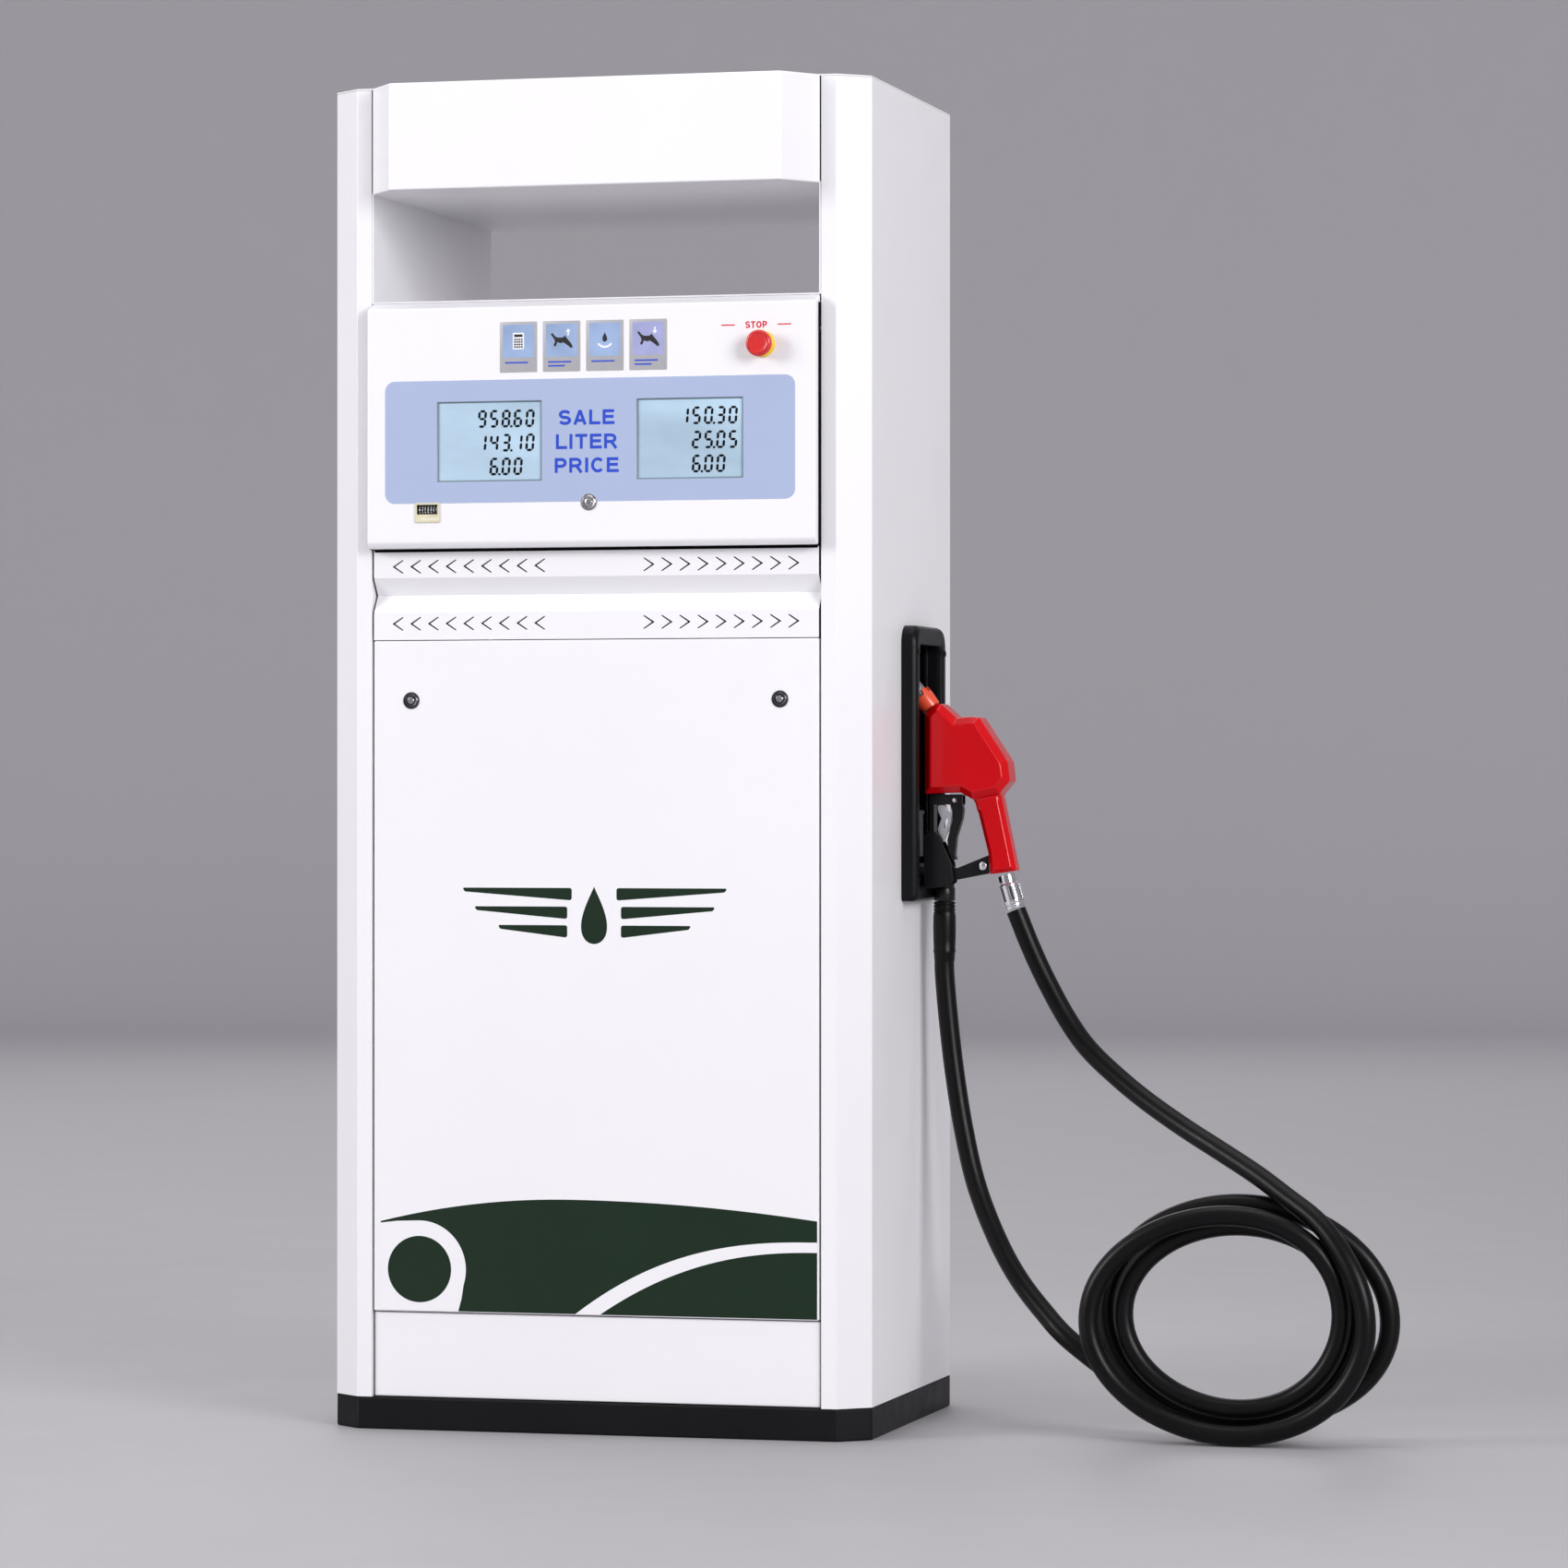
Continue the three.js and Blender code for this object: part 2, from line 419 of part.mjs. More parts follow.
// Nozzle, drawn from its datum in X and Z.
function buildNozzle(root) {
  const nozzle = new THREE.Group();
  nozzle.position.set(NOZZLE.x, NOZZLE.y, NOZZLE.z);
  root.add(nozzle);
  const along = [-Math.cos(SPOUT_TILT), 0, Math.sin(SPOUT_TILT)];
  const spoutFoot = [4, 0, 111];

  const bodyOutline = [[-2, 0], [46, 2], [62, -7], [98, 0], [105, 9], [112, 17], [109, 42],
    [104, 50], [71, 100], [59, 101], [41, 99], [20, 118], [11, 117], [-2, 104]];
  const chamfered = (points, half, bevel) => {
    const depth = 2 * (half - bevel);
    const options = { depth, bevelThickness: bevel, bevelSize: bevel, bevelOffset: -bevel,
      bevelSegments: 1 };
    return new THREE.ExtrudeGeometry(outline(points), options)
      .translate(0, 0, -depth / 2).rotateX(Math.PI / 2);
  };
  const handleOutline = [[62, 12], [64, -9], [81, -77], [83.5, -105], [119, -100], [98, 1], [96, 12]];
  const body = join(chamfered(bodyOutline, 29, 9), chamfered(handleOutline, 17, 6));
  piece(nozzle, "nozzle_body", body, RED);
  const collar = turned([[9, 1], [10.5, 6], [15, 19], [15, 22]], spoutFoot, along);
  piece(nozzle, "spout_collar", cut(collar, solidAway(body, 2)), ORANGE);
  const foot = spoutFoot.map((value, i) => value + along[i] * (22 + GAP));
  piece(nozzle, "nozzle_spout",
    turned([[10.4, 0], [10.4, SPOUT_LENGTH - 40], [9.4, SPOUT_LENGTH - 22]], foot, along), ALUMINIUM);

  const mount = [[2, -0.5], [46, -0.5], [46, -14], [8, -14], [8, -51], [10, -51], [30, -95],
    [38, -97], [80.3, -80], [80.3, -104], [34, -113], [11, -119], [2, -116]];
  const slot = box(26, 50, -6.5, 6.5, -20, -2.5);
  const pinHole = rod([LEVER_PIN.x, -20, LEVER_PIN.z], [LEVER_PIN.x, 20, LEVER_PIN.z],
    LEVER_PIN.radius + GAP, 12);
  const slim = box(31, 90, -20, -4.5, -125, -60);
  const slimFar = box(31, 90, 4.5, 20, -125, -60);
  const guard = cut(prismY([...mount].reverse(), -9.5, 9.5), slot, pinHole, slim, slimFar);
  piece(nozzle, "lever_guard", guard, BLACK);
  piece(nozzle, "trigger_pin",
    rod([LEVER_PIN.x, -11, LEVER_PIN.z], [LEVER_PIN.x, 11, LEVER_PIN.z], LEVER_PIN.radius, 12), CHROME);
  const lever = [[30, -4], [41, -4], [45, -14], [46.5, -20], [45, -32], [37, -58], [35, -80],
    [37, -86], [31, -86], [26, -74], [25, -60], [31.5, -36], [31.5, -22], [29, -14]];
  piece(nozzle, "trigger_lever",
    cut(prismY([...lever].reverse(), -5.5, 5.5), pinHole), BLACK);
  const rack = [[12, -14.5], [22, -14.5], [24, -22], [29.5, -30], [29, -42], [22, -56], [19, -64],
    [15, -55], [11.5, -46], [17, -32], [12, -22]];
  const rackHole = [[24, -28], [26, -36], [22, -46], [18, -44], [21, -34]];
  piece(nozzle, "hold_open_rack", prismY([...rack].reverse(), -4.5, 4.5, [rackHole.reverse()]),
    ALUMINIUM);

  const down = [Math.sin(SWIVEL_TILT), 0, -Math.cos(SWIVEL_TILT)];
  const profile = [[11.5, 0], [11.5, 12], [13.8, 14], [13.8, 38], [12.8, 46]];
  const flats = [[SWIVEL.flat, 20], [-20, -SWIVEL.flat]].map(([y0, y1]) => box(-20, 20, y0, y1, -36, -18)
    .rotateY(-SWIVEL_TILT).translate(SWIVEL.x, 0, SWIVEL.z));
  const swivel = turned(profile, [SWIVEL.x, 0, SWIVEL.z], down);
  piece(nozzle, "hose_swivel", cut(swivel, ...flats), CHROME);
}

// A copy of a body swollen a little about its own middle, for cutting a neighbour clear of it.
function solidAway(body, grow) {
  body.computeBoundingBox();
  const size = body.boundingBox.getSize(new THREE.Vector3());
  const middle = body.boundingBox.getCenter(new THREE.Vector3());
  const scale = size.clone().addScalar(grow).divide(size);
  return body.clone().translate(...middle.clone().negate()).scale(...scale).translate(...middle);
}

// Hose outlet, strain-relief sleeve, and the hose as two free legs and the coil between them.
function buildHose(root) {
  const hose = new THREE.Group();
  root.add(hose);
  const { x, y, z, bend, pipe } = OUTLET;
  const corner = Array.from({ length: 5 }, (_, i) => {
    const angle = (i / 4) * (Math.PI / 2);
    return [x - bend + bend * Math.sin(angle), y, z - bend + bend * Math.cos(angle)];
  });
  const elbow = join(
    tube([[244, y, z], [300, y, z], [350, y, z], ...corner, [x, y, SLEEVE_TOP + GAP]], pipe, 24, 12));
  piece(hose, "outlet_elbow", elbow, ZINC);
  const sleeve = [[13, 0], [14.2, 2], [13, 5], [14.2, 8], [13, 11], [14.6, 14], [15, 30], [14.6, 60],
    [13.4, SLEEVE_TOP - SLEEVE_BOTTOM]];
  piece(hose, "hose_sleeve", turned(sleeve, [x, y, SLEEVE_TOP], [0, 0, -1], 16), RUBBER);
  piece(hose, "hose_pump_leg", tube(PUMP_LEG, HOSE_RADIUS, 16), RUBBER);
  piece(hose, "hose_nozzle_leg", tube(NOZZLE_LEG, HOSE_RADIUS, 16), RUBBER);
  const ring = [[COIL.inner, COIL.y0 + 14], [COIL.inner + 14, COIL.y0], [COIL.outZ - 16, COIL.y0],
    [COIL.outZ, COIL.y0 + 16], [COIL.outZ, COIL.y1 - 16], [COIL.outZ - 16, COIL.y1],
    [COIL.inner + 14, COIL.y1], [COIL.inner, COIL.y1 - 14], [COIL.inner, COIL.y0 + 14]];
  const coil = new THREE.LatheGeometry(ring.map(([r, l]) => new THREE.Vector2(r, l)), 32)
    .scale(COIL.outX / COIL.outZ, 1, 1);
  piece(hose, "hose_coil", coil, RUBBER).position.set(COIL.x, 0, COIL.z);
}

// Grooved pulley on an axle along Y.
function pulley(radius, bore) {
  const half = 11;
  const profile = [[bore, -half], [radius + 2, -half], [radius + 2, -7], [radius - BELT, -7],
    [radius - BELT, 7], [radius + 2, 7], [radius + 2, half], [bore, half], [bore, -half]];
  return new THREE.LatheGeometry(profile.map(([r, l]) => new THREE.Vector2(r, l)), 28);
}

// Belt: the outline round both pulleys, tangent to each, less the same outline drawn in.
function beltOutline(grow) {
  const span = new THREE.Vector2(MOTOR.x - PUMP.x, MOTOR.z - PUMP.z);
  const lean = Math.acos((PUMP_PULLEY - MOTOR_PULLEY) / span.length());
  const base = span.angle();
  const arc = (centre, radius, from, to) => Array.from({ length: 17 }, (_, i) => {
    const angle = from + ((to - from) * i) / 16;
    return [centre.x + radius * Math.cos(angle), centre.z + radius * Math.sin(angle)];
  });
  return [...arc(PUMP, PUMP_PULLEY + grow, base + lean, base + 2 * Math.PI - lean),
    ...arc(MOTOR, MOTOR_PULLEY + grow, base - lean, base + lean)];
}

function buildGear(root) {
  const gear = new THREE.Group();
  root.add(gear);
  const floor = FLOOR + TRAY.thick + GAP;
  const pumpBody = join(box(PUMP.x - 85, PUMP.x + 85, -60, 120, 150, 340),
    rod([PUMP.x, -95, PUMP.z], [PUMP.x, -50, PUMP.z], 62, 24),
    rod([PUMP.x + 20, 60, 330], [PUMP.x + 20, 60, 400], 55, 24),
    ...[-70, 70].map((dx) => box(PUMP.x + dx - 15, PUMP.x + dx + 15, -50, 110, floor, 152)));
  const pumpShaftHole = rod([PUMP.x, -160, PUMP.z], [PUMP.x, -60, PUMP.z], 12.5);
  piece(gear, "pump_unit", cut(pumpBody, pumpShaftHole), IRON);
  const motorBody = join(rod([MOTOR.x, -75, MOTOR.z], [MOTOR.x, 150, MOTOR.z], 78, 24),
    box(MOTOR.x - 60, MOTOR.x + 60, -50, 120, floor, MOTOR.z - 40),
    box(MOTOR.x - 45, MOTOR.x + 45, 0, 90, MOTOR.z + 60, MOTOR.z + 105));
  const motorShaftHole = rod([MOTOR.x, -160, MOTOR.z], [MOTOR.x, -40, MOTOR.z], 10.5);
  piece(gear, "motor", cut(motorBody, motorShaftHole), MOTOR_BLUE);
  for (const [name, centre, radius, shaft, reach] of [
    ["pump_pulley", PUMP, PUMP_PULLEY, 12, 60], ["motor_pulley", MOTOR, MOTOR_PULLEY, 10, 82]]) {
    const axle = rod([0, -14, 0], [0, reach, 0], shaft);
    const wheel = piece(gear, name, join(pulley(radius, shaft - 1), axle), IRON);
    wheel.position.set(centre.x, DRIVE_Y, centre.z);
  }
  const belt = prismY(beltOutline(-0.2).reverse(), DRIVE_Y - 6, DRIVE_Y + 6,
    [beltOutline(1.2 - BELT)]);
  piece(gear, "drive_belt", belt, RUBBER);

  const { x, y, z } = METER;
  const top = z + METER.height;
  const meter = join(rod([x, y, z], [x, y, top], METER.radius, 24),
    box(x - 70, x + 70, y - 22, y + 22, z + 30, z + 80));
  piece(gear, "flow_meter", cut(meter, rod([x, y, z + 60], [x, y, top + 10], 6.4)), ALUMINIUM);
  const disc = join(rod([0, 0, -40], [0, 0, 12], 6, 12), rod([0, 0, 3], [0, 0, 8], 38, 24));
  piece(gear, "pulser_disc", disc, CHROME).position.set(x, y, top);
  const valve = join(box(180, 228, OUTLET.y - 24, OUTLET.y + 24, 690, 740),
    rod([204, OUTLET.y, 735], [204, OUTLET.y, 800], 20));
  piece(gear, "solenoid_valve", valve, IRON);
  const suction = (radius, z0, z1) => rod([PUMP.x, 100, z0], [PUMP.x, 100, z1], radius, 20);
  const bore = rod([PUMP.x, 100, 0], [PUMP.x, 100, 140], 19);
  piece(gear, "inlet_pipe", cut(join(suction(24, 10, 149.5), suction(27, 10, 22)), bore), ZINC);
  const mid = z + METER.pipe;
  const riser = 400; // top of the pump's air separator
  piece(gear, "pump_outlet_pipe", tube([[PUMP.x + 20, 60, riser + GAP], [PUMP.x + 20, 60, riser + 70],
    [PUMP.x + 40, 65, riser + 130], [PUMP.x + 80, y, mid], [x - 90, y, mid], [x - 71, y, mid]],
  PIPE_RADIUS, 16, 8), ZINC);
  piece(gear, "meter_outlet_pipe", tube([[x + 71, y, mid], [x + 85, y, mid], [x + 100, y, mid + 2],
    [200, 56, mid + 35], [204, OUTLET.y, 640], [204, OUTLET.y, 690 - GAP]], PIPE_RADIUS, 16, 8), ZINC);
}

const group = new THREE.Group();
buildFrame(group);
buildBay(group, "front");
buildBay(group, "rear");
buildBoot(group);
buildNozzle(group);
buildHose(group);
buildGear(group);

export default group;
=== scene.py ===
"""Looks of a double-sided fuel dispenser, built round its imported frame.

Metres in Blender, millimetres in the numbers below, +Z up, -Y the front, +X the nozzle's side.
"""
import json
import math

import bmesh
import bpy
import numpy as np
from mathutils import Matrix, Vector

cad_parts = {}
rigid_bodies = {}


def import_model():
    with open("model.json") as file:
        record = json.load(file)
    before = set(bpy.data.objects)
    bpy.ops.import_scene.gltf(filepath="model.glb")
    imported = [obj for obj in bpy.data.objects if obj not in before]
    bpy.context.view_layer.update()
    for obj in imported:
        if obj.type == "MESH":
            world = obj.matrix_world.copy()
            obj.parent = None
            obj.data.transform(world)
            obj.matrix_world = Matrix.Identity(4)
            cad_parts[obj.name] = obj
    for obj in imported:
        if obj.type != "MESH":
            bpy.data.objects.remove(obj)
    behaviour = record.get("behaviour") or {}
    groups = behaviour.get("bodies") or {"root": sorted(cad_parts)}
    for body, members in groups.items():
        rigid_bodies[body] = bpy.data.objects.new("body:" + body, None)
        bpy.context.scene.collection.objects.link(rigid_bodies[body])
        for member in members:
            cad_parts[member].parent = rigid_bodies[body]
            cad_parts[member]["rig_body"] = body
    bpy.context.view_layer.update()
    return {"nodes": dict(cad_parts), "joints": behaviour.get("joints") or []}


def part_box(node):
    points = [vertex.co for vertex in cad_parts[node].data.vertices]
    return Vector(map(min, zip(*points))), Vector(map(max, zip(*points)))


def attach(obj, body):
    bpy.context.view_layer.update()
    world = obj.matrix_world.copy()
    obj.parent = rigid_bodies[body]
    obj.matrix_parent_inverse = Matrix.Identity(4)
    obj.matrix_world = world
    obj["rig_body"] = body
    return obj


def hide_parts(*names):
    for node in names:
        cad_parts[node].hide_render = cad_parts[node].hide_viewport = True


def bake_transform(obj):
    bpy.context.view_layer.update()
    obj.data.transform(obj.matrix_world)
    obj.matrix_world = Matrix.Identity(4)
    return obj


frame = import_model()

MM = 0.001
SIDES = ("front", "rear")

# Camera.
CAMERA_PLACE = (2.1408, -7.4245, 0.8177)
CAMERA_TURN = (90.146, 0, 14.75)
LENS = 133.645

# Studio.
FLOOR_GREY = (0.395, 0.386, 0.405)
WALL_GREY = (0.66, 0.643, 0.672)
KEY_POWER, FILL_POWER, BACK_POWER, TOP_POWER = 355, 345, 120, 128
RIM_POWER = 70
SKY = 0.43

# Hose: the two legs' points from their upper ends, then the coil. The coil's angles run on over several
# turns; its depth and its reaches along X and Z are given at some of them.
HOSE_DIAMETER = 26
PUMP_LEG = [
    (395, 36, 612), (395, 36, 590), (400, 34, 536), (410, 29, 460), (425, 19, 383), (445, 5, 313),
    (475, -15, 249), (508, -37, 199), (547, -60, 157), (596, -84, 115),
]
NOZZLE_LEG = [
    (498, 6, 672), (517, 5, 626), (539, 2, 581), (569, -4, 530), (599, -12, 492), (641, -25, 456),
    (683, -40, 426), (734, -60, 395), (786, -84, 367), (837, -108, 339), (878, -128, 313),
    (919, -148, 286), (949, -164, 255), (974, -176, 215), (987, -181, 170),
]
COIL_MIDDLE = (815, 160)
COIL_START, COIL_END, COIL_STEP = 235, 1425, 22.5
COIL_DEPTH = ((270, -95.2), (1440, -180.4))
COIL_REACH_X = (
    (235, 210), (360, 190), (540, 174), (720, 151), (900, 146), (1080, 131), (1260, 192), (1440, 171))
COIL_REACH_Z = ((270, 135), (450, 144), (630, 132), (810, 115), (990, 114), (1170, 130), (1350, 148))
COIL_EASE = 60


# ---------------------------------------------------------------- nodes' places
def middle(low, high):
    return (low + high) / 2


def extent(node):
    """A node's box in millimetres, as x0, x1, y0, y1, z0, z1."""
    low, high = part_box(node)
    return low.x / MM, high.x / MM, low.y / MM, high.y / MM, low.z / MM, high.z / MM


HEAD_FACE = extent("front_display_door")[2]
DOOR_FACE = extent("front_lower_door")[2]


# ---------------------------------------------------------------- geometry in plain lists
def full_turn(count):
    """Evenly spaced angles round a circle."""
    return [2 * math.pi * k / count for k in range(count)]


def rectangle(u0, u1, v0, v1):
    return [(u0, v0), (u1, v0), (u1, v1), (u0, v1)]


def circle(u, v, radius, count=32):
    return [(u + radius * math.cos(a), v + radius * math.sin(a)) for a in full_turn(count)]


def arc(u, v, radius, start, end, count):
    turns = (math.radians(start + (end - start) * i / count) for i in range(count + 1))
    return [(u + radius * math.cos(a), v + radius * math.sin(a)) for a in turns]


def rounded(points, radius, steps=5):
    """An outline with its corners turned into arcs. radius is one number or one for each corner."""
    radii = radius if hasattr(radius, "__len__") else [radius] * len(points)
    result = []
    for i, point in enumerate(points):
        corner = Vector(point)
        a = Vector(points[i - 1]) - corner
        b = Vector(points[(i + 1) % len(points)]) - corner
        half = a.angle(b) / 2
        run = min(radii[i] / math.tan(half), 0.48 * a.length, 0.48 * b.length)
        if run < 0.01 or half > math.radians(89):
            result.append(tuple(corner))
            continue
        inner = run * math.tan(half)
        centre = corner + (a.normalized() + b.normalized()).normalized() * (inner / math.sin(half))
        start = corner + a.normalized() * run - centre
        end = corner + b.normalized() * run - centre
        sweep = start.angle(end)
        for k in range(steps + 1):
            t = k / steps
            spoke = (start * math.sin((1 - t) * sweep) + end * math.sin(t * sweep)) / math.sin(sweep)
            result.append(tuple(centre + spoke))
    return result


def inset(points, distance):
    """A counter-clockwise outline moved inwards."""
    result = []
    for i, point in enumerate(points):
        before = (Vector(point) - Vector(points[i - 1])).normalized()
        after = (Vector(points[(i + 1) % len(points)]) - Vector(point)).normalized()
        n1, n2 = Vector((-before.y, before.x)), Vector((-after.y, after.x))
        mitre = (n1 + n2) / max(0.4, 1 + n1.dot(n2))
        result.append(tuple(Vector(point) + mitre * distance))
    return result


def loft(loops, ends=True, ring=False):
    """Points and faces of a skin through loops of equal count. ends closes it, ring joins last to first."""
    count = len(loops[0])
    points = [p for loop in loops for p in loop]
    faces = []
    for k in range(len(loops) if ring else len(loops) - 1):
        low, high = k * count, (k + 1) % len(loops) * count
        faces += [(low + i, low + (i + 1) % count, high + (i + 1) % count, high + i) for i in range(count)]
    if ends and not ring:
        faces.append(tuple(range(count))[::-1])
        faces.append(tuple(range(len(points) - count, len(points))))
    return points, faces


def merged(*parts):
    points, faces = [], []
    for part_points, part_faces in parts:
        shift = len(points)
        points += part_points
        faces += [tuple(i + shift for i in face) for face in part_faces]
    return points, faces


def facing(x=0, y=0, z=0):
    """Places (u, v, w) with u along +X, v along +Z and w out of the front."""
    return lambda u, v, w: (x + u, y - w, z + v)


def slab(outline, low, high, place, edge=0.0, steps=3):
    """A plate between two heights, its edges rounded by edge."""
    levels = [(0, low + edge), (0, high - edge)]
    if edge:
        quarter = [k / steps * math.pi / 2 for k in range(steps + 1)]
        levels = [(edge * (1 - math.sin(a)), low + edge * (1 - math.cos(a))) for a in quarter[:-1]] + levels
        levels += [(edge * (1 - math.cos(a)), high - edge * (1 - math.sin(a))) for a in quarter[1:]]
    return loft([[place(u, v, w) for u, v in (inset(outline, d) if d else outline)] for d, w in levels])


def lathe(profile, origin, direction, sides=48, swell=None):
    """A turned piece: (radius, distance) pairs along a direction. swell(angle, distance) scales radii."""
    turn = Vector((0, 0, 1)).rotation_difference(Vector(direction).normalized())
    scale = swell or (lambda angle, along: 1)
    loops = []
    for radius, along in profile:
        loop = []
        for a in full_turn(sides):
            r = radius * scale(a, along)
            loop.append(tuple(turn @ Vector((r * math.cos(a), r * math.sin(a), along)) + Vector(origin)))
        loops.append(loop)
    return loft(loops)


def front_ring(section, x, y, z, count):
    """A ring about a line out of the front: (radius, distance out) pairs round its section."""
    loops = [[(u, y - out, v) for u, v in circle(x, z, radius, count)] for radius, out in section]
    return loft(loops, ring=True)


def hexagon(angle, along):
    """How far a hexagon of one across-corners radius lies out at an angle."""
    return math.cos(math.pi / 6) / math.cos((angle % (math.pi / 3)) - math.pi / 6)


def tube(path, radius, sides=20):
    """A round tube along points, without twist."""
    points = [Vector(p) for p in path]
    tangents = [(points[min(i + 1, len(points) - 1)] - points[max(i - 1, 0)]).normalized()
                for i in range(len(points))]
    side = tangents[0].orthogonal().normalized()
    loops = []
    for point, tangent in zip(points, tangents):
        side = (side - tangent * side.dot(tangent)).normalized()
        up = tangent.cross(side)
        loops.append([tuple(point + (side * math.cos(a) + up * math.sin(a)) * radius)
                      for a in full_turn(sides)])
    return loft(loops)


def spline(points, step):
    """Evenly spaced points of a Catmull-Rom curve through points."""
    p = np.array(points, float)
    p = np.vstack([2 * p[0] - p[1], p, 2 * p[-1] - p[-2]])
    t = np.linspace(0, 1, 24, endpoint=False)[:, None]
    parts = []
    for a, b, c, d in zip(p, p[1:], p[2:], p[3:]):
        parts.append(0.5 * (2 * b + (c - a) * t + (2 * a - 5 * b + 4 * c - d) * t**2
                            + (3 * b - a - 3 * c + d) * t**3))
    fine = np.vstack([*parts, p[-2:-1]])
    run = np.r_[0, np.cumsum(np.linalg.norm(np.diff(fine, axis=0), axis=1))]
    even = np.linspace(0, run[-1], max(2, round(run[-1] / step)) + 1)
    return np.array([np.interp(even, run, fine[:, k]) for k in range(3)]).T, float(run[-1])


# ---------------------------------------------------------------- materials
COAT_ROUGHNESS, RELIEF_DEPTH = 0.08, 0.0002


def add_node(tree, kind, **inputs):
    node = tree.nodes.new("ShaderNode" + kind)
    for key, value in inputs.items():
        node.inputs[key.replace("_", " ")].default_value = value
    return node


def noise(tree, place, scale, detail=2.0):
    node = add_node(tree, "TexNoise", Scale=scale, Detail=detail)
    tree.links.new(place, node.inputs["Vector"])
    return node.outputs["Fac"]


def spread(tree, value, low, high, span=(0.3, 0.7)):
    node = add_node(tree, "MapRange", From_Min=span[0], From_Max=span[1], To_Min=low, To_Max=high)
    tree.links.new(value, node.inputs["Value"])
    return node.outputs["Result"]


def two_tone(tree, value, dark, light, span=(0.3, 0.7)):
    node = tree.nodes.new("ShaderNodeValToRGB")
    node.color_ramp.elements[0].position, node.color_ramp.elements[1].position = span
    node.color_ramp.elements[0].color = (*dark, 1)
    node.color_ramp.elements[1].color = (*light, 1)
    tree.links.new(value, node.inputs["Fac"])
    return node.outputs["Color"]


def surface(name, colour, roughness, metallic=0.0, coat=0.0, shade=0.04, cloud=4.0, grain=500.0,
            relief=0.1, rough_spread=0.04, stretch=(1, 1, 1), gloss=0.5):
    """A node material: a soft drift of colour, an uneven roughness and a fine relief.

    stretch draws the pattern out along an axis, and gloss sets how strongly the bare surface mirrors.
    """
    material = bpy.data.materials.new(name)
    material.use_nodes = True
    material.diffuse_color = (*colour, 1)
    tree = material.node_tree
    shader = tree.nodes["Principled BSDF"]
    shader.inputs["Metallic"].default_value = metallic
    shader.inputs["Coat Weight"].default_value = coat
    shader.inputs["Specular IOR Level"].default_value = gloss
    shader.inputs["Coat Roughness"].default_value = COAT_ROUGHNESS
    mapping = add_node(tree, "Mapping")
    mapping.inputs["Scale"].default_value = stretch
    tree.links.new(tree.nodes.new("ShaderNodeTexCoord").outputs["Object"], mapping.inputs["Vector"])
    place = mapping.outputs["Vector"]
    drift, fine = noise(tree, place, cloud, 4), noise(tree, place, grain, 3)
    dark = [c * (1 - shade) for c in colour]
    light = [min(1, c * (1 + shade)) for c in colour]
    tone = two_tone(tree, drift, dark, light)
    tree.links.new(tone, shader.inputs["Base Color"])
    low, high = max(0.02, roughness - rough_spread), min(1, roughness + rough_spread)
    tree.links.new(spread(tree, noise(tree, place, cloud * 7, 5), low, high), shader.inputs["Roughness"])
    bump = add_node(tree, "Bump", Strength=relief, Distance=RELIEF_DEPTH)
    tree.links.new(fine, bump.inputs["Height"])
    tree.links.new(bump.outputs["Normal"], shader.inputs["Normal"])
    return material


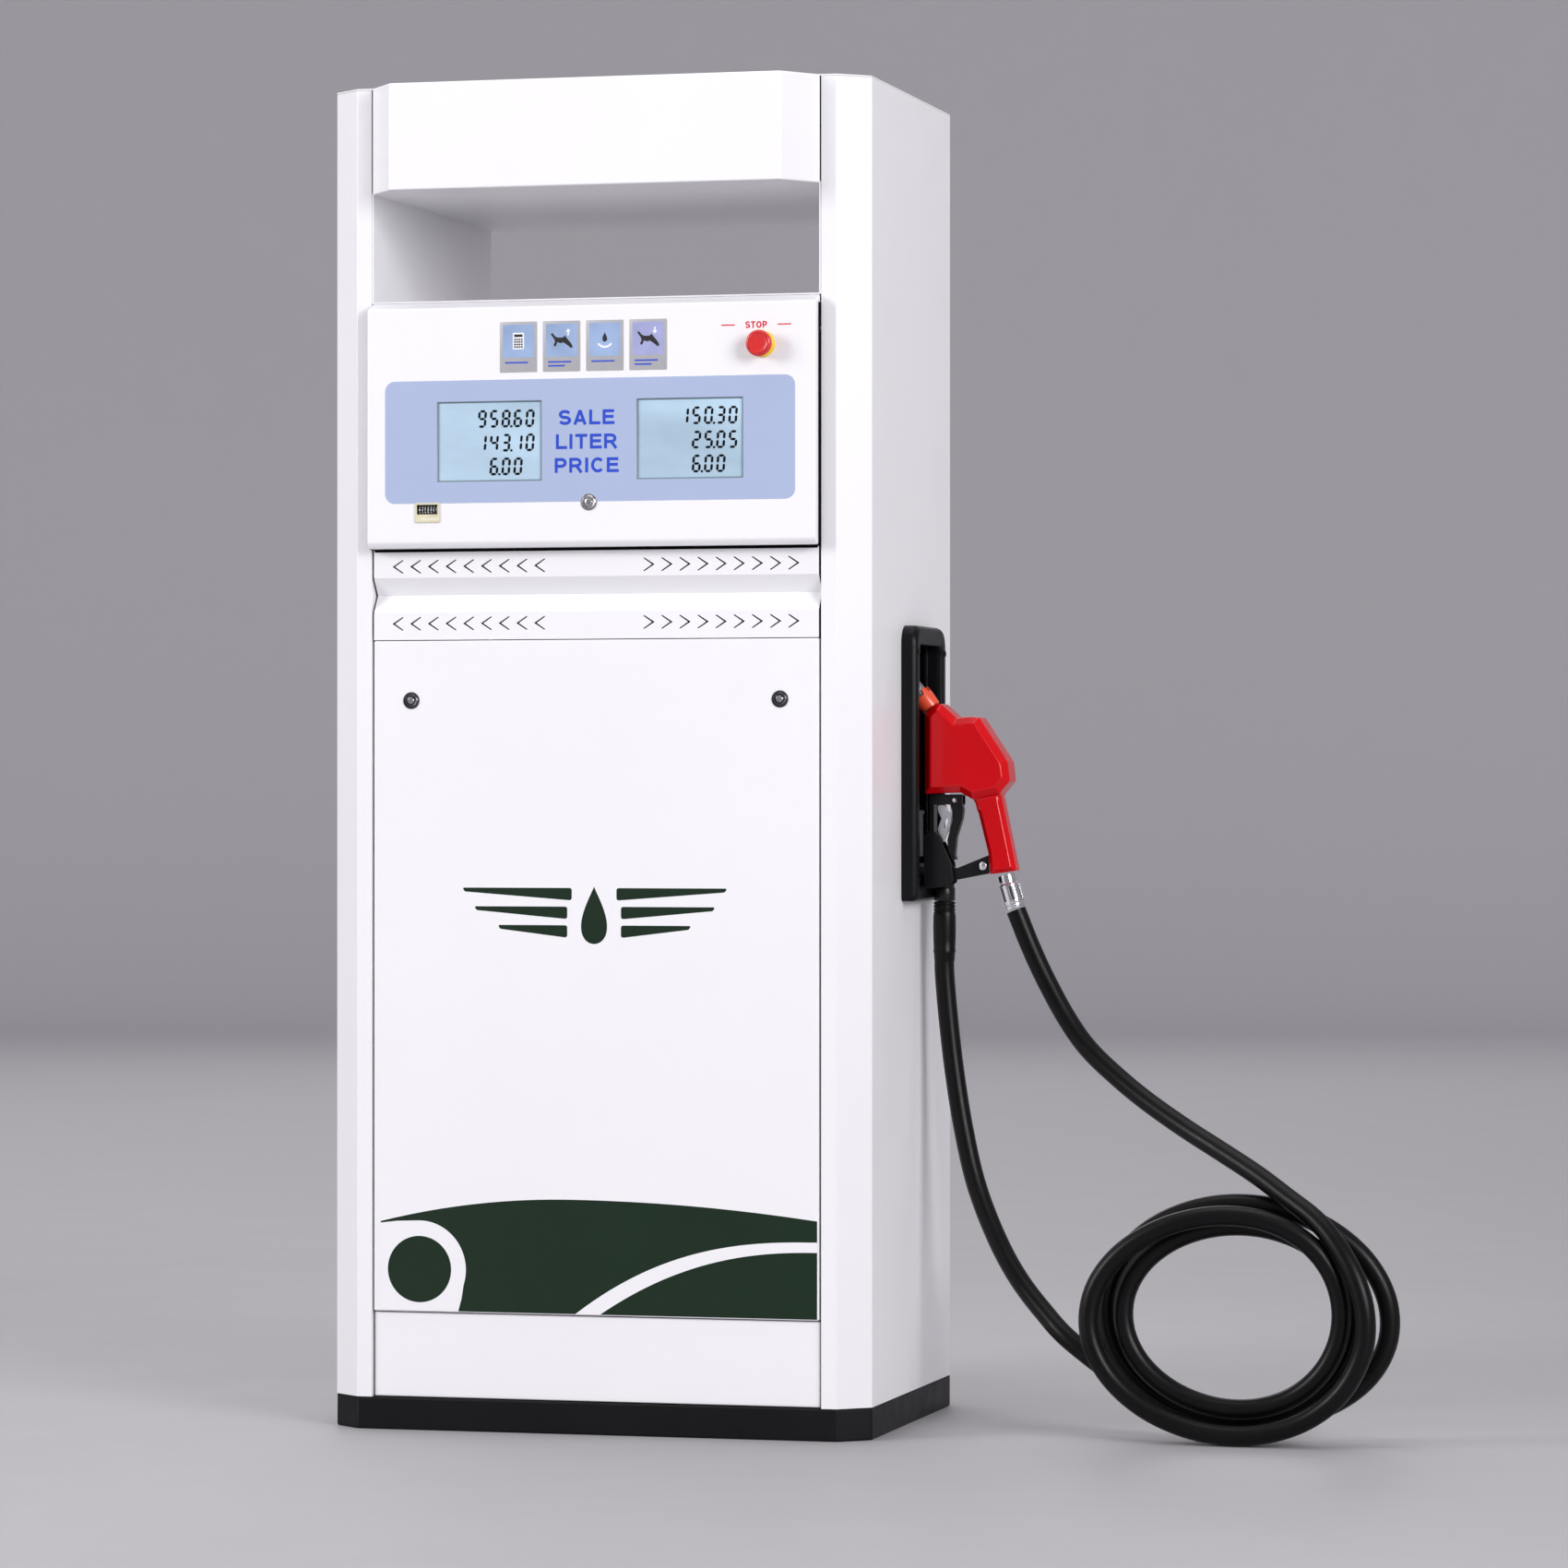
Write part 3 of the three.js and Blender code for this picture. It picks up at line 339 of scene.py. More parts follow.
LOOKS = {
    "white": ("white_coat", surface(
        "white_powder_coat", (0.865, 0.858, 0.885), 0.34, shade=0.012, cloud=3, grain=900, relief=0.12)),
    "plinth": ("plinth_black", surface(
        "black_powder_coat", (0.005, 0.005, 0.006), 0.46, shade=0.25, grain=1400, relief=0.35, gloss=0.16)),
    "zinc": ("zinc_plate", surface(
        "zinc_plate", (0.55, 0.56, 0.57), 0.38, 1, shade=0.12, cloud=14, grain=160, rough_spread=0.1)),
    "boot": ("boot_plastic", surface(
        "boot_plastic", (0.004, 0.0042, 0.0055), 0.34, shade=0.2, grain=1600, relief=0.5, gloss=0.15)),
    "nylon": ("black_plastic", surface(
        "black_nylon", (0.005, 0.005, 0.0058), 0.3, shade=0.2, grain=1500, relief=0.4, gloss=0.3)),
    "red": ("nozzle_red", surface(
        "red_vinyl", (0.62, 0.001, 0.005), 0.2, coat=0.25, shade=0.05, cloud=12, grain=260, relief=0.06,
        gloss=0.18)),
    "orange": ("collar_orange", surface(
        "orange_plastic", (0.82, 0.085, 0.03), 0.3, coat=0.3, shade=0.05, grain=700)),
    "stop_red": ("stop_red", surface(
        "stop_red_plastic", (0.62, 0.02, 0.02), 0.32, coat=0.3, shade=0.04, grain=900)),
    "stop_dark": ("stop_red", surface(
        "stop_mark_plastic", (0.42, 0.012, 0.012), 0.4, shade=0.05, grain=900)),
    "yellow": ("stop_yellow", surface(
        "stop_yellow_plastic", (0.84, 0.56, 0.012), 0.34, coat=0.2, shade=0.05, grain=900)),
    "beige": ("counter_beige", surface(
        "counter_beige_plastic", (0.68, 0.64, 0.46), 0.42, shade=0.05, grain=900)),
    "lcd": ("display_face", surface(
        "display_face", (0.45, 0.61, 0.745), 0.16, coat=0.5, shade=0.14, cloud=6, grain=60, relief=0.02,
        stretch=(1, 1, 3))),
    "lcd_frame": ("display_face", surface(
        "display_frame", (0.16, 0.22, 0.26), 0.3, shade=0.1, grain=800)),
    "lcd_ink": ("black_plastic", surface(
        "display_segments", (0.003, 0.004, 0.005), 0.3, shade=0.2, grain=900, gloss=0.2)),
    "blue": ("display_face", surface(
        "blue_membrane", (0.395, 0.47, 0.67), 0.36, shade=0.012, cloud=7, grain=1300, relief=0.2)),
    "ink_blue": ("display_face", surface(
        "blue_ink", (0.022, 0.07, 0.56), 0.36, shade=0.06, grain=1300)),
    "ink_red": ("stop_red", surface(
        "red_ink", (0.62, 0.012, 0.03), 0.36, shade=0.06, grain=1300)),
    "label": ("zinc_plate", surface(
        "silver_label", (0.43, 0.43, 0.455), 0.4, 0.1, shade=0.04, cloud=40, grain=1400)),
    "picture": ("display_face", surface(
        "picture_blue", (0.30, 0.41, 0.63), 0.36, shade=0.12, cloud=30, grain=1300)),
    "picture_lilac": ("display_face", surface(
        "picture_lilac", (0.35, 0.37, 0.62), 0.36, shade=0.12, cloud=30, grain=1300)),
    "ink_black": ("black_plastic", surface("black_ink", (0.02, 0.018, 0.02), 0.4, shade=0.2, grain=1300)),
    "ink_white": ("white_coat", surface("white_ink", (0.84, 0.85, 0.88), 0.4, shade=0.02, grain=1300)),
    "green": ("plinth_black", surface(
        "green_film", (0.006, 0.021, 0.0095), 0.4, shade=0.06, cloud=6, grain=1300, relief=0.15, gloss=0.3)),
    "chrome": ("chrome_plate", surface(
        "chrome_plate", (0.78, 0.78, 0.8), 0.12, 1, shade=0.04, cloud=30, grain=300, relief=0.03)),
    "steel": ("chrome_plate", surface(
        "turned_steel", (0.6, 0.59, 0.58), 0.24, 1, shade=0.1, cloud=60, grain=900, relief=0.1)),
    # Dark steel of the door locks; also the painted shade and painted reflection in the swivel's flutes.
    "dark_steel_and_flute_shade": ("chrome_plate", surface(
        "dark_steel_and_flute_shade", (0.11, 0.11, 0.12), 0.3, 1, shade=0.1, cloud=60, grain=900, relief=0.1)),
    # Painted shadow: black for the gaps round the doors and for the dark inside behind the louvres.
    "shadow": ("black_plastic", surface("painted_gap_shadow", (0.002, 0.002, 0.0022), 0.8, shade=0.2, gloss=0.05)),
    "aluminium": ("aluminium_cast", surface(
        "cast_aluminium", (0.66, 0.67, 0.69), 0.3, 1, shade=0.08, cloud=30, grain=420, relief=0.3)),
    # Painted shade: the spout's aluminium is darker than the cast aluminium because it lies in the boot's
    # dark well.
    "spout": ("aluminium_cast", surface(
        "spout_aluminium_painted_shade", (0.4, 0.41, 0.43), 0.32, 1, shade=0.1, cloud=30, grain=420, relief=0.2)),
    "iron": ("iron_cast", surface(
        "painted_casting", (0.12, 0.13, 0.14), 0.5, 0.2, shade=0.12, cloud=16, grain=260, relief=0.6)),
    "motor": ("motor_paint", surface(
        "blue_enamel", (0.045, 0.1, 0.2), 0.36, shade=0.08, cloud=14, grain=300, relief=0.35)),
    "rubber": ("hose_rubber", surface(
        "black_hose_rubber", (0.003, 0.003, 0.0034), 0.34, shade=0.25, cloud=18, grain=900, relief=0.35,
        gloss=0.18)),
    "belt": ("hose_rubber", surface(
        "belt_rubber", (0.018, 0.017, 0.017), 0.62, shade=0.2, cloud=30, grain=700, relief=0.5)),
}


# ---------------------------------------------------------------- pieces
def own(obj, body, look, replaced=()):
    """Gives a mesh its material and body, and hides the nodes it stands for."""
    slot, material = LOOKS[look]
    obj.data.materials.clear()
    obj.data.materials.append(material)
    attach(obj, body)
    if replaced:
        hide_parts(*replaced)
    return obj


def new_object(name, mesh):
    obj = bpy.data.objects.new(name, mesh)
    bpy.context.scene.collection.objects.link(obj)
    return obj


def rear_turned(mesh, side):
    """Turns a rear piece's mesh half round; both sides are drawn as fronts."""
    if side == "rear":
        mesh.transform(Matrix.Rotation(math.pi, 4, "Z"))


def smooth(mesh, angle):
    mesh.shade_smooth()
    mesh.set_sharp_from_angle(angle=math.radians(angle))


def mesh_of(name, part, side="front", angle=32):
    """A Blender mesh of points in millimetres; the rear side's is turned half round."""
    points, faces = part
    mesh = bpy.data.meshes.new(name)
    mesh.from_pydata([tuple(c * MM for c in p) for p in points], [], faces)
    bm = bmesh.new()
    bm.from_mesh(mesh)
    bmesh.ops.recalc_face_normals(bm, faces=bm.faces)
    bm.to_mesh(mesh)
    bm.free()
    rear_turned(mesh, side)
    smooth(mesh, angle)
    return mesh


def shape(name, part, side="front", angle=32):
    """An object that rides on nothing yet: a tool, or a piece still to be finished."""
    return new_object(name, mesh_of(name, part, side, angle))


def piece(name, part, body, look, *replaced, side="front", angle=32):
    return own(shape(name, part, side, angle), body, look, replaced)


def even_normals(obj):
    """Shades flat faces flat beside narrow rounds."""
    modifier = obj.modifiers.new("even_normals", "WEIGHTED_NORMAL")
    modifier.keep_sharp = True
    modifier.weight = 80


def clean_copy(node):
    """A node's mesh with its split points joined and its flat faces whole."""
    bm = bmesh.new()
    bm.from_mesh(frame["nodes"][node].data)
    bmesh.ops.remove_doubles(bm, verts=bm.verts, dist=0.00002)
    bmesh.ops.dissolve_limit(bm, angle_limit=math.radians(0.8), verts=bm.verts, edges=bm.edges)
    bmesh.ops.connect_verts_concave(bm, faces=[face for face in bm.faces if len(face.verts) > 4])
    bmesh.ops.recalc_face_normals(bm, faces=bm.faces)
    return bm


def round_edges(bm, edges, radius, segments):
    if edges:
        bmesh.ops.bevel(bm, geom=edges, offset=radius * MM, offset_type="OFFSET", segments=segments,
                        profile=0.5, affect="EDGES", clamp_overlap=True)


def is_fold(edge, least=0.002):
    """A convex edge between two large faces, where sheet metal is bent."""
    if len(edge.link_faces) != 2 or edge.calc_face_angle_signed() < math.radians(15):
        return False
    return min(face.calc_area() for face in edge.link_faces) > least


def runs_along_y(edge):
    if len(edge.link_faces) != 2 or edge.calc_face_angle() < math.radians(10):
        return False
    way = (edge.verts[1].co - edge.verts[0].co).normalized()
    return abs(way.y) > 0.99


def refined(node, look, fold=2.5, rim=0.5, chosen=is_fold):
    """A finer piece for a CAD node: chosen edges rounded by fold, and the other sharp ones by rim."""
    bm = clean_copy(node)
    round_edges(bm, [e for e in bm.edges if chosen(e)], fold, 4)
    sharp = [e for e in bm.edges if len(e.link_faces) == 2 and e.calc_face_angle() > math.radians(35)]
    round_edges(bm, sharp, rim, 2)
    mesh = bpy.data.meshes.new(node + "_finished")
    bm.to_mesh(mesh)
    bm.free()
    smooth(mesh, 50)
    obj = own(new_object(mesh.name, mesh), frame["nodes"][node]["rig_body"], look, (node,))
    even_normals(obj)
    return obj


def applied(obj):
    """obj with its modifiers made part of its mesh."""
    view = bpy.context.evaluated_depsgraph_get()
    view.update()
    mesh = bpy.data.meshes.new_from_object(obj.evaluated_get(view))
    obj.modifiers.clear()
    obj.data = mesh
    return obj


def carved(obj, *tools):
    """obj less the tools' shapes, which are then removed."""
    for tool in tools:
        cut = obj.modifiers.new("cut", "BOOLEAN")
        cut.operation, cut.solver, cut.object = "DIFFERENCE", "EXACT", tool
    applied(obj)
    for tool in tools:
        bpy.data.objects.remove(tool)
    return obj


def figure_mesh(figure, width, height, thickness, place):
    """A mesh of one figure, of a stated width and height, centred on place (x, y, z)."""
    font = bpy.data.curves.new(figure, "FONT")
    font.body, font.size, font.extrude, font.offset = figure, 1.0, 0.02, 0.03
    font.resolution_u = 5
    holder = new_object("letters", font)
    bpy.context.view_layer.update()
    mesh = bpy.data.meshes.new_from_object(holder.evaluated_get(bpy.context.evaluated_depsgraph_get()))
    bpy.data.objects.remove(holder)
    points = np.array([v.co for v in mesh.vertices])
    low, high = points.min(0), points.max(0)
    size = high - low
    for v in mesh.vertices:
        u = (v.co.x - (low[0] + high[0]) / 2) / size[0] * width
        w = (v.co.y - (low[1] + high[1]) / 2) / size[1] * height
        out = (v.co.z - low[2]) / size[2] * thickness
        v.co = Vector((place[0] + u, place[1] - out, place[2] + w)) * MM
    return mesh


def stroke(path, width):
    """The outline of a flat stroke along a path of (u, v) points."""
    left, right = [], []
    for i, (u, v) in enumerate(path):
        before, after = path[max(0, i - 1)], path[min(len(path) - 1, i + 1)]
        ways = []
        for a, b in ((before, (u, v)), ((u, v), after)):
            size = math.dist(a, b)
            if size:
                ways.append(((b[0] - a[0]) / size, (b[1] - a[1]) / size))
        way = (sum(w[0] for w in ways), sum(w[1] for w in ways))
        size = math.hypot(*way)
        way = (way[0] / size, way[1] / size)
        reach = width / 2 / max(0.5, way[0] * ways[0][0] + way[1] * ways[0][1])
        left.append((u - way[1] * reach, v + way[0] * reach))
        right.append((u + way[1] * reach, v - way[0] * reach))
    return right + left[::-1]


def bow(u, v, reach, rise, start, end, count=14):
    """Points of a stretch of an ellipse."""
    return [(u + reach * math.cos(a), v + rise * math.sin(a))
            for a in (math.radians(start + (end - start) * k / count) for k in range(count + 1))]


# Each letter: its width, and the paths of its strokes, for a height of one.
LETTERS = {
    "S": (0.66, [bow(0.33, 0.7, 0.235, 0.205, 20, 262) + bow(0.33, 0.3, 0.25, 0.205, 82, -160)]),
    "A": (0.72, [[(0.09, 0), (0.36, 0.97)], [(0.36, 0.97), (0.63, 0)], [(0.2, 0.29), (0.52, 0.29)]]),
    "L": (0.6, [[(0.1, 0), (0.1, 1)], [(0.1, 0.1), (0.6, 0.1)]]),
    "I": (0.22, [[(0.11, 0), (0.11, 1)]]),
    "T": (0.66, [[(0.33, 0), (0.33, 1)], [(0.02, 0.9), (0.64, 0.9)]]),
    "E": (0.64, [[(0.1, 0), (0.1, 1)], [(0.1, 0.1), (0.64, 0.1)], [(0.1, 0.52), (0.59, 0.52)],
                 [(0.1, 0.9), (0.62, 0.9)]]),
    "P": (0.66, [[(0.1, 0), (0.1, 1)], [
        (0.1, 0.9), (0.36, 0.9), *bow(0.36, 0.67, 0.205, 0.23, 85, -85), (0.36, 0.44), (0.1, 0.44)]]),
    "R": (0.72, [[(0.1, 0), (0.1, 1)], [(0.4, 0.45), (0.65, 0)], [
        (0.1, 0.9), (0.38, 0.9), *bow(0.38, 0.68, 0.205, 0.22, 85, -85), (0.38, 0.46), (0.1, 0.46)]]),
    "C": (0.72, [bow(0.37, 0.5, 0.27, 0.41, 42, 318, 22)]),
    "O": (0.78, [bow(0.39, 0.5, 0.28, 0.4, 0, 360, 30)]),
}


def block_word(word, u, v, height, weight, place, broad=1.06):
    """A word in plain block letters, centred on (u, v); broad widens the letters."""
    space = weight * 0.62
    widths = [LETTERS[letter][0] * height * broad for letter in word]
    left = u - (sum(widths) + space * (len(word) - 1)) / 2
    parts = []
    for letter, width in zip(word, widths):
        for i, path in enumerate(LETTERS[letter][1]):
            points = [(left + a * height * broad, v + (b - 0.5) * height) for a, b in path]
            parts.append(slab(stroke(points, weight), 0, FILM + 0.01 * i, place))
        left += width + space
    return merged(*parts)


# ---------------------------------------------------------------- camera and hose
def make_camera():
    data = bpy.data.cameras.new("camera")
    data.sensor_width = 36
    data.lens = LENS
    camera = new_object("camera", data)
    camera.location = CAMERA_PLACE
    camera.rotation_euler = [math.radians(a) for a in CAMERA_TURN]
    bpy.context.scene.camera = camera


def eased(angle, keys):
    """A value read off straight lines between keys, averaged over a stretch either side."""
    around = np.linspace(angle - COIL_EASE, angle + COIL_EASE, 13)
    return float(np.mean(np.interp(around, [k[0] for k in keys], [k[1] for k in keys])))


def hose_route():
    """The pump leg, the coil's turns, and the nozzle leg back up."""
    turns = round((COIL_END - COIL_START) / COIL_STEP)
    (first, near), (last, far) = COIL_DEPTH
    coil = []
    for i in range(turns + 1):
        angle = COIL_START + (COIL_END - COIL_START) * i / turns
        turn = math.radians(angle)
        coil.append((
            COIL_MIDDLE[0] + eased(angle, COIL_REACH_X) * math.cos(turn),
            near + (far - near) * (angle - first) / (last - first),
            COIL_MIDDLE[1] + eased(angle, COIL_REACH_Z) * math.sin(turn),
        ))
    return PUMP_LEG + coil + NOZZLE_LEG[::-1]


def make_hose():
    path, length = spline(hose_route(), 9)
    radius = HOSE_DIAMETER / 2
    sides = 24
    hose = shape("delivery_hose", tube(path, radius, sides), angle=60)
    hose.data.materials.append(LOOKS["rubber"][1])
    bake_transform(hose)
    # A share that grows along the hose, from the coil to the nozzle, is worked out here but not used.
    run = np.linspace(0, length, len(path))
    free = spline(NOZZLE_LEG, 9)[1] - 60
    share = np.clip((run - (length - free)) / (free - 25), 0, 1)
    share = share * share * (3 - 2 * share)
    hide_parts("hose_pump_leg", "hose_coil", "hose_nozzle_leg")
    sleeve = make_sleeve()


def make_sleeve():
    """Strain relief: a ribbed collar under the elbow, then a sleeve that tapers onto the hose."""
    x0, x1, y0, y1, z0, z1 = extent("hose_sleeve")
    length = z1 - z0
    profile = [(11, 0), (13.2, 0.3)]
    for rib in range(3):
        foot = 1 + rib * 4.4
        profile += [(13.2, foot), (14.4, foot + 0.7), (14.4, foot + 2.4), (13.2, foot + 3.1)]
    profile += [(14.3, 15.5), (14.8, 20), (15, 34), (14.7, 50), (14.2, 62), (14.6, 63), (14.6, 67),
                (14.0, 68), (13.4, length - 1), (13.0, length)]
    moulding = lathe(profile, (middle(x0, x1), middle(y0, y1), z1), (0, 0, -1))
    return piece("hose_sleeve_moulding", moulding, "cabinet", "rubber", "hose_sleeve", angle=30)


# ---------------------------------------------------------------- cabinet
def make_cabinet():
    for node, look, fold, rim in (
            ("plinth", "plinth", 4, 1), ("right_side_shell", "white", 2.5, 0.4),
            ("left_side_shell", "white", 2.5, 0.4), ("roof_panel", "white", 1, 0.6),
            ("window_liner", "white", 1.2, 0.4), ("base_tray", "zinc", 1.5, 0.4),
            ("electronics_shelf", "zinc", 1.5, 0.4), ("control_box", "zinc", 4, 1)):
        refined(node, look, fold, rim)
    for side in SIDES:
        for panel, fold, rim in (
                ("header_cover", 2.2, 0.4), ("vent_panel", 1.6, 0.25), ("kick_panel", 2, 0.4),
                ("lower_door", 2, 0.4), ("display_door", 2.4, 0.3)):
            refined(f"{side}_{panel}", "white", fold, rim)


# ---------------------------------------------------------------- display heads
BLUE_PANEL = {"x0": -275, "x1": 273, "z0": 1199, "z1": 1357, "corner": 13}
PLATE = {"z0": 1366, "z1": 1431, "width": 50, "centres": (-94.5, -36.6, 21.3, 79)}
SEGMENTS = {
    "0": "abcdef", "1": "bc", "2": "abged", "3": "abgcd", "4": "fgbc", "5": "afgcd",
    "6": "afgedc", "7": "abc", "8": "abcdefg", "9": "abcdfg",
}
DIGIT = {"height": 22.8, "pitch": 16.1, "width": 11.6, "stroke": 3.2, "lean": 0.08, "rise": 0.12}
INK, FILM = 0.1, 0.15
READINGS = {
    "left": (("958.60", 0), ("143.10", 0), ("6.00", 1)),
    "right": (("150.30", 0), ("25.05", 0), ("6.00", 1)),
}
ROWS = (1307, 1276, 1245.5)
WORDS = ("SALE", "LITER", "PRICE")


def segment(name, left, foot):
    """One bar of a seven-bar digit, pointed at its ends and leaning a little."""
    height, width, stroke = DIGIT["height"], DIGIT["width"], DIGIT["stroke"]
    half, gap = stroke / 2, 0.5
    flat = {"a": height - half, "g": height / 2, "d": half}
    if name in flat:
        v = flat[name]
        u0, u1 = half + gap, width - half - gap
        bar = [(u0, v), (u0 + half, v - half), (u1 - half, v - half), (u1, v), (u1 - half, v + half),
               (u0 + half, v + half)]
    else:
        u = width - half if name in "bc" else half
        v0 = half + gap if name in "ce" else height / 2 + gap
        v1 = height / 2 - gap if name in "ce" else height - half - gap
        bar = [(u, v0), (u + half, v0 + half), (u + half, v1 - half), (u, v1), (u - half, v1 - half),
               (u - half, v0 + half)]
    return [(left + a + b * DIGIT["lean"], foot + b) for a, b in bar]


def number(text, right, row, place):
    """A reading set against its right-hand end, as one part."""
    parts, left = [], right - DIGIT["width"]
    for mark in reversed(text):
        if mark == ".":
            dot = left + DIGIT["pitch"] - 3.8
            foot = row - DIGIT["height"] / 2
            parts.append(slab(rectangle(dot, dot + 3, foot, foot + 2.8), 0, DIGIT["rise"], place))
            continue
        for name in SEGMENTS[mark]:
            parts.append(slab(segment(name, left, row - DIGIT["height"] / 2), 0, DIGIT["rise"], place))
        left -= DIGIT["pitch"]
    return merged(*parts)


def make_seals(side):
    """Black strips in the gaps round the doors and a black sheet behind the louvres: painted shadow of the
    gaps and painted shade of the cabinet's dark inside.
    """
    _, x, _, back, z0, z1 = extent("front_display_door")
    place = facing(y=back)
    side_top = z1 - 10
    # Painted shadow: thin black strips just behind the door's edges darken the gaps round it.
    gap_shadow = merged(*[slab(rectangle(*edges), 0.3, 9, place, 0.15, 1) for edges in (
        (-x - 0.5, -x + 0.1, z0 - 0.5, side_top), (x - 0.1, x + 0.5, z0 - 0.5, side_top),
        (-x - 0.5, x + 0.5, z0 - 0.5, z0 + 0.1))])
    piece(f"{side}_display_door_gap_shadow", gap_shadow, f"{side}_head", "shadow", side=side)
    _, _, face, _, foot, top = extent("front_vent_panel")
    place = facing(y=face)
    # Painted shadow: a black strip under the vent panel's top edge darkens the gap there.
    strip = slab(rectangle(-297, 297, top - 2.2, top + 0.4), -3, 0.4, place, 0.15, 1)
    body = frame["nodes"][f"{side}_vent_panel"]["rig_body"]
    piece(f"{side}_vent_top_gap_shadow", strip, body, "shadow", side=side)
    # Painted shade: a black sheet behind the louvres stands for the dark inside of the cabinet.
    screen = slab(rectangle(-284, 284, foot + 8, top - 8), -30, -28.6, place)
    piece(f"{side}_louvre_painted_shade", screen, "cabinet", "shadow", side=side)


def make_display(side, hand):
    """One liquid-crystal display: its face, the dark gasket round it, and the reading."""
    node = f"{side}_{hand}_display"
    x0, x1, y0, y1, z0, z1 = extent(f"front_{hand}_display")
    body = f"{side}_head"
    place = facing(y=y0)
    plate = slab(rounded(rectangle(x0, x1, z0, z1), 3), y0 - y1, 0, place, 0.4)
    piece(f"{side}_{hand}_display_face", plate, body, "lcd", node, side=side)
    lip, wide = 6, 2.2
    hole = rounded(rectangle(x0 + lip, x1 - lip, z0 + lip, z1 - lip), 1.2)
    inner = inset(hole, wide)
    section = ((hole, 0.2), (hole, 2.6), (inset(hole, 0.8), 2.2), (inner, 0.35), (inner, 0.2))
    ring = loft([[place(u, v, out) for u, v in loop] for loop, out in section], ring=True)
    piece(f"{side}_{hand}_display_gasket", ring, body, "lcd_frame", side=side)
    right = x1 - lip - (10 if hand == "left" else 7.5)
    lean = DIGIT["lean"] * DIGIT["height"]
    figures = merged(*[number(text, right - lean - shift * DIGIT["pitch"], row, facing(y=y0 - 0.05))
                       for (text, shift), row in zip(READINGS[hand], ROWS)])
    piece(f"{side}_{hand}_display_figures", figures, body, "lcd_ink", side=side)


def icon_keypad(x, z, place):
    centres = [(x + u, z + v) for u in (-4.6, -1.5, 1.5, 4.6) for v in (-7.6, -4.4, -1.2, 2.0)]
    keys = [slab(rounded(rectangle(u - 1.1, u + 1.1, v - 1.1, v + 1.1), 0.4, 2), 0, INK, place)
            for u, v in centres]
    screen = slab(rectangle(x - 5.6, x + 5.6, z + 5.2, z + 8.6), 0, INK, place)
    card = slab(rounded(rectangle(x - 7.6, x + 7.6, z - 10.6, z + 10.8), 1), 0, INK, place)
    return merged(*keys, screen), card


NOZZLE_ICON = [
    (-13, 11), (-11, 13), (-7, 8), (-3, 6), (4, 6), (7, 9), (9, 6), (16, -3), (18, -8), (15, -9), (12, -6),
    (5, -1), (0, -2), (-4, 0), (-5, -4), (-7, -7), (-9, -5), (-7, 0), (-8, 4),
]
ARROW_ICON = [(0, 0), (2, 0), (2, 6), (4.5, 6), (1, 11), (-2.5, 6), (0, 6)]


def icon_nozzle(x, z, place, turned=False):
    flip = -1 if turned else 1
    shape = [(x + u * 0.95 - 2, z + v * 0.9 - 2) for u, v in NOZZLE_ICON]
    arrow = [(x + 8 + u, z + 10.5 + flip * (v - 5.5) * 0.8) for u, v in ARROW_ICON]
    return (slab(rounded(shape[::-1], 0.8, 3), 0, INK, place),
            slab(arrow if flip > 0 else arrow[::-1], 0, INK, place))


def icon_drop(x, z, place):
    """A falling drop over a curved line."""
    drop = [(x + 4.4 * math.sin(a) * math.sin(a / 2) ** 1.4, z + 3 + 6 * math.cos(a)) for a in full_turn(28)]
    bowl = [(u, v) for u, v in arc(x, z + 1, 12, 215, 325, 12)] + arc(x, z + 1, 9.4, 325, 215, 12)
    return slab(drop[::-1], 0, INK, place), slab(bowl, 0, INK, place)


def make_plates(side):
    """Four small picture plates: a keypad, a nozzle going out, a drop, and a nozzle coming back."""
    body = f"{side}_head"
    icons = (icon_keypad, icon_nozzle, icon_drop, lambda x, z, place: icon_nozzle(x, z, place, True))
    on_plate = facing(y=HEAD_FACE - 0.4)
    plates, pictures, lilac, dark, light, bars = [], [], [], [], [], []
    for i, (x, icon) in enumerate(zip(PLATE["centres"], icons)):
        half, z0, z1 = PLATE["width"] / 2, PLATE["z0"], PLATE["z1"]
        card = rounded(rectangle(x - half, x + half, z0, z1), 1.4)
        plates.append(slab(card, 0, 0.4, facing(y=HEAD_FACE), 0.12, 2))
        field = rectangle(x - half + 4.2, x + half - 4.2, z0 + 19, z1 - 3.6)
        (lilac if i == 3 else pictures).append(slab(field, 0, INK, on_plate))
        black, white = icon(x, middle(z0 + 19, z1 - 3.6), facing(y=HEAD_FACE - 0.6))
        dark.append(black)
        light.append((([(px, py + 0.1, pz) for px, py, pz in white[0]]), white[1]))
        for row, share in ((z0 + 11.5, 0.62), (z0 + 6.5, 0.45 if i % 2 else 0)):
            if share:
                bars.append(slab(rectangle(x - half + 7, x - half + 7 + PLATE["width"] * share, row, row + 2),
                                 0, INK, on_plate))
    for name, parts, look in (("picture_plates", plates, "label"), ("pictures", pictures, "picture"),
                              ("last_picture", lilac, "picture_lilac"), ("pictures_dark", dark, "ink_black"),
                              ("pictures_light", light, "ink_white"), ("picture_captions", bars, "ink_blue")):
        piece(f"{side}_{name}", merged(*parts), body, look, side=side)


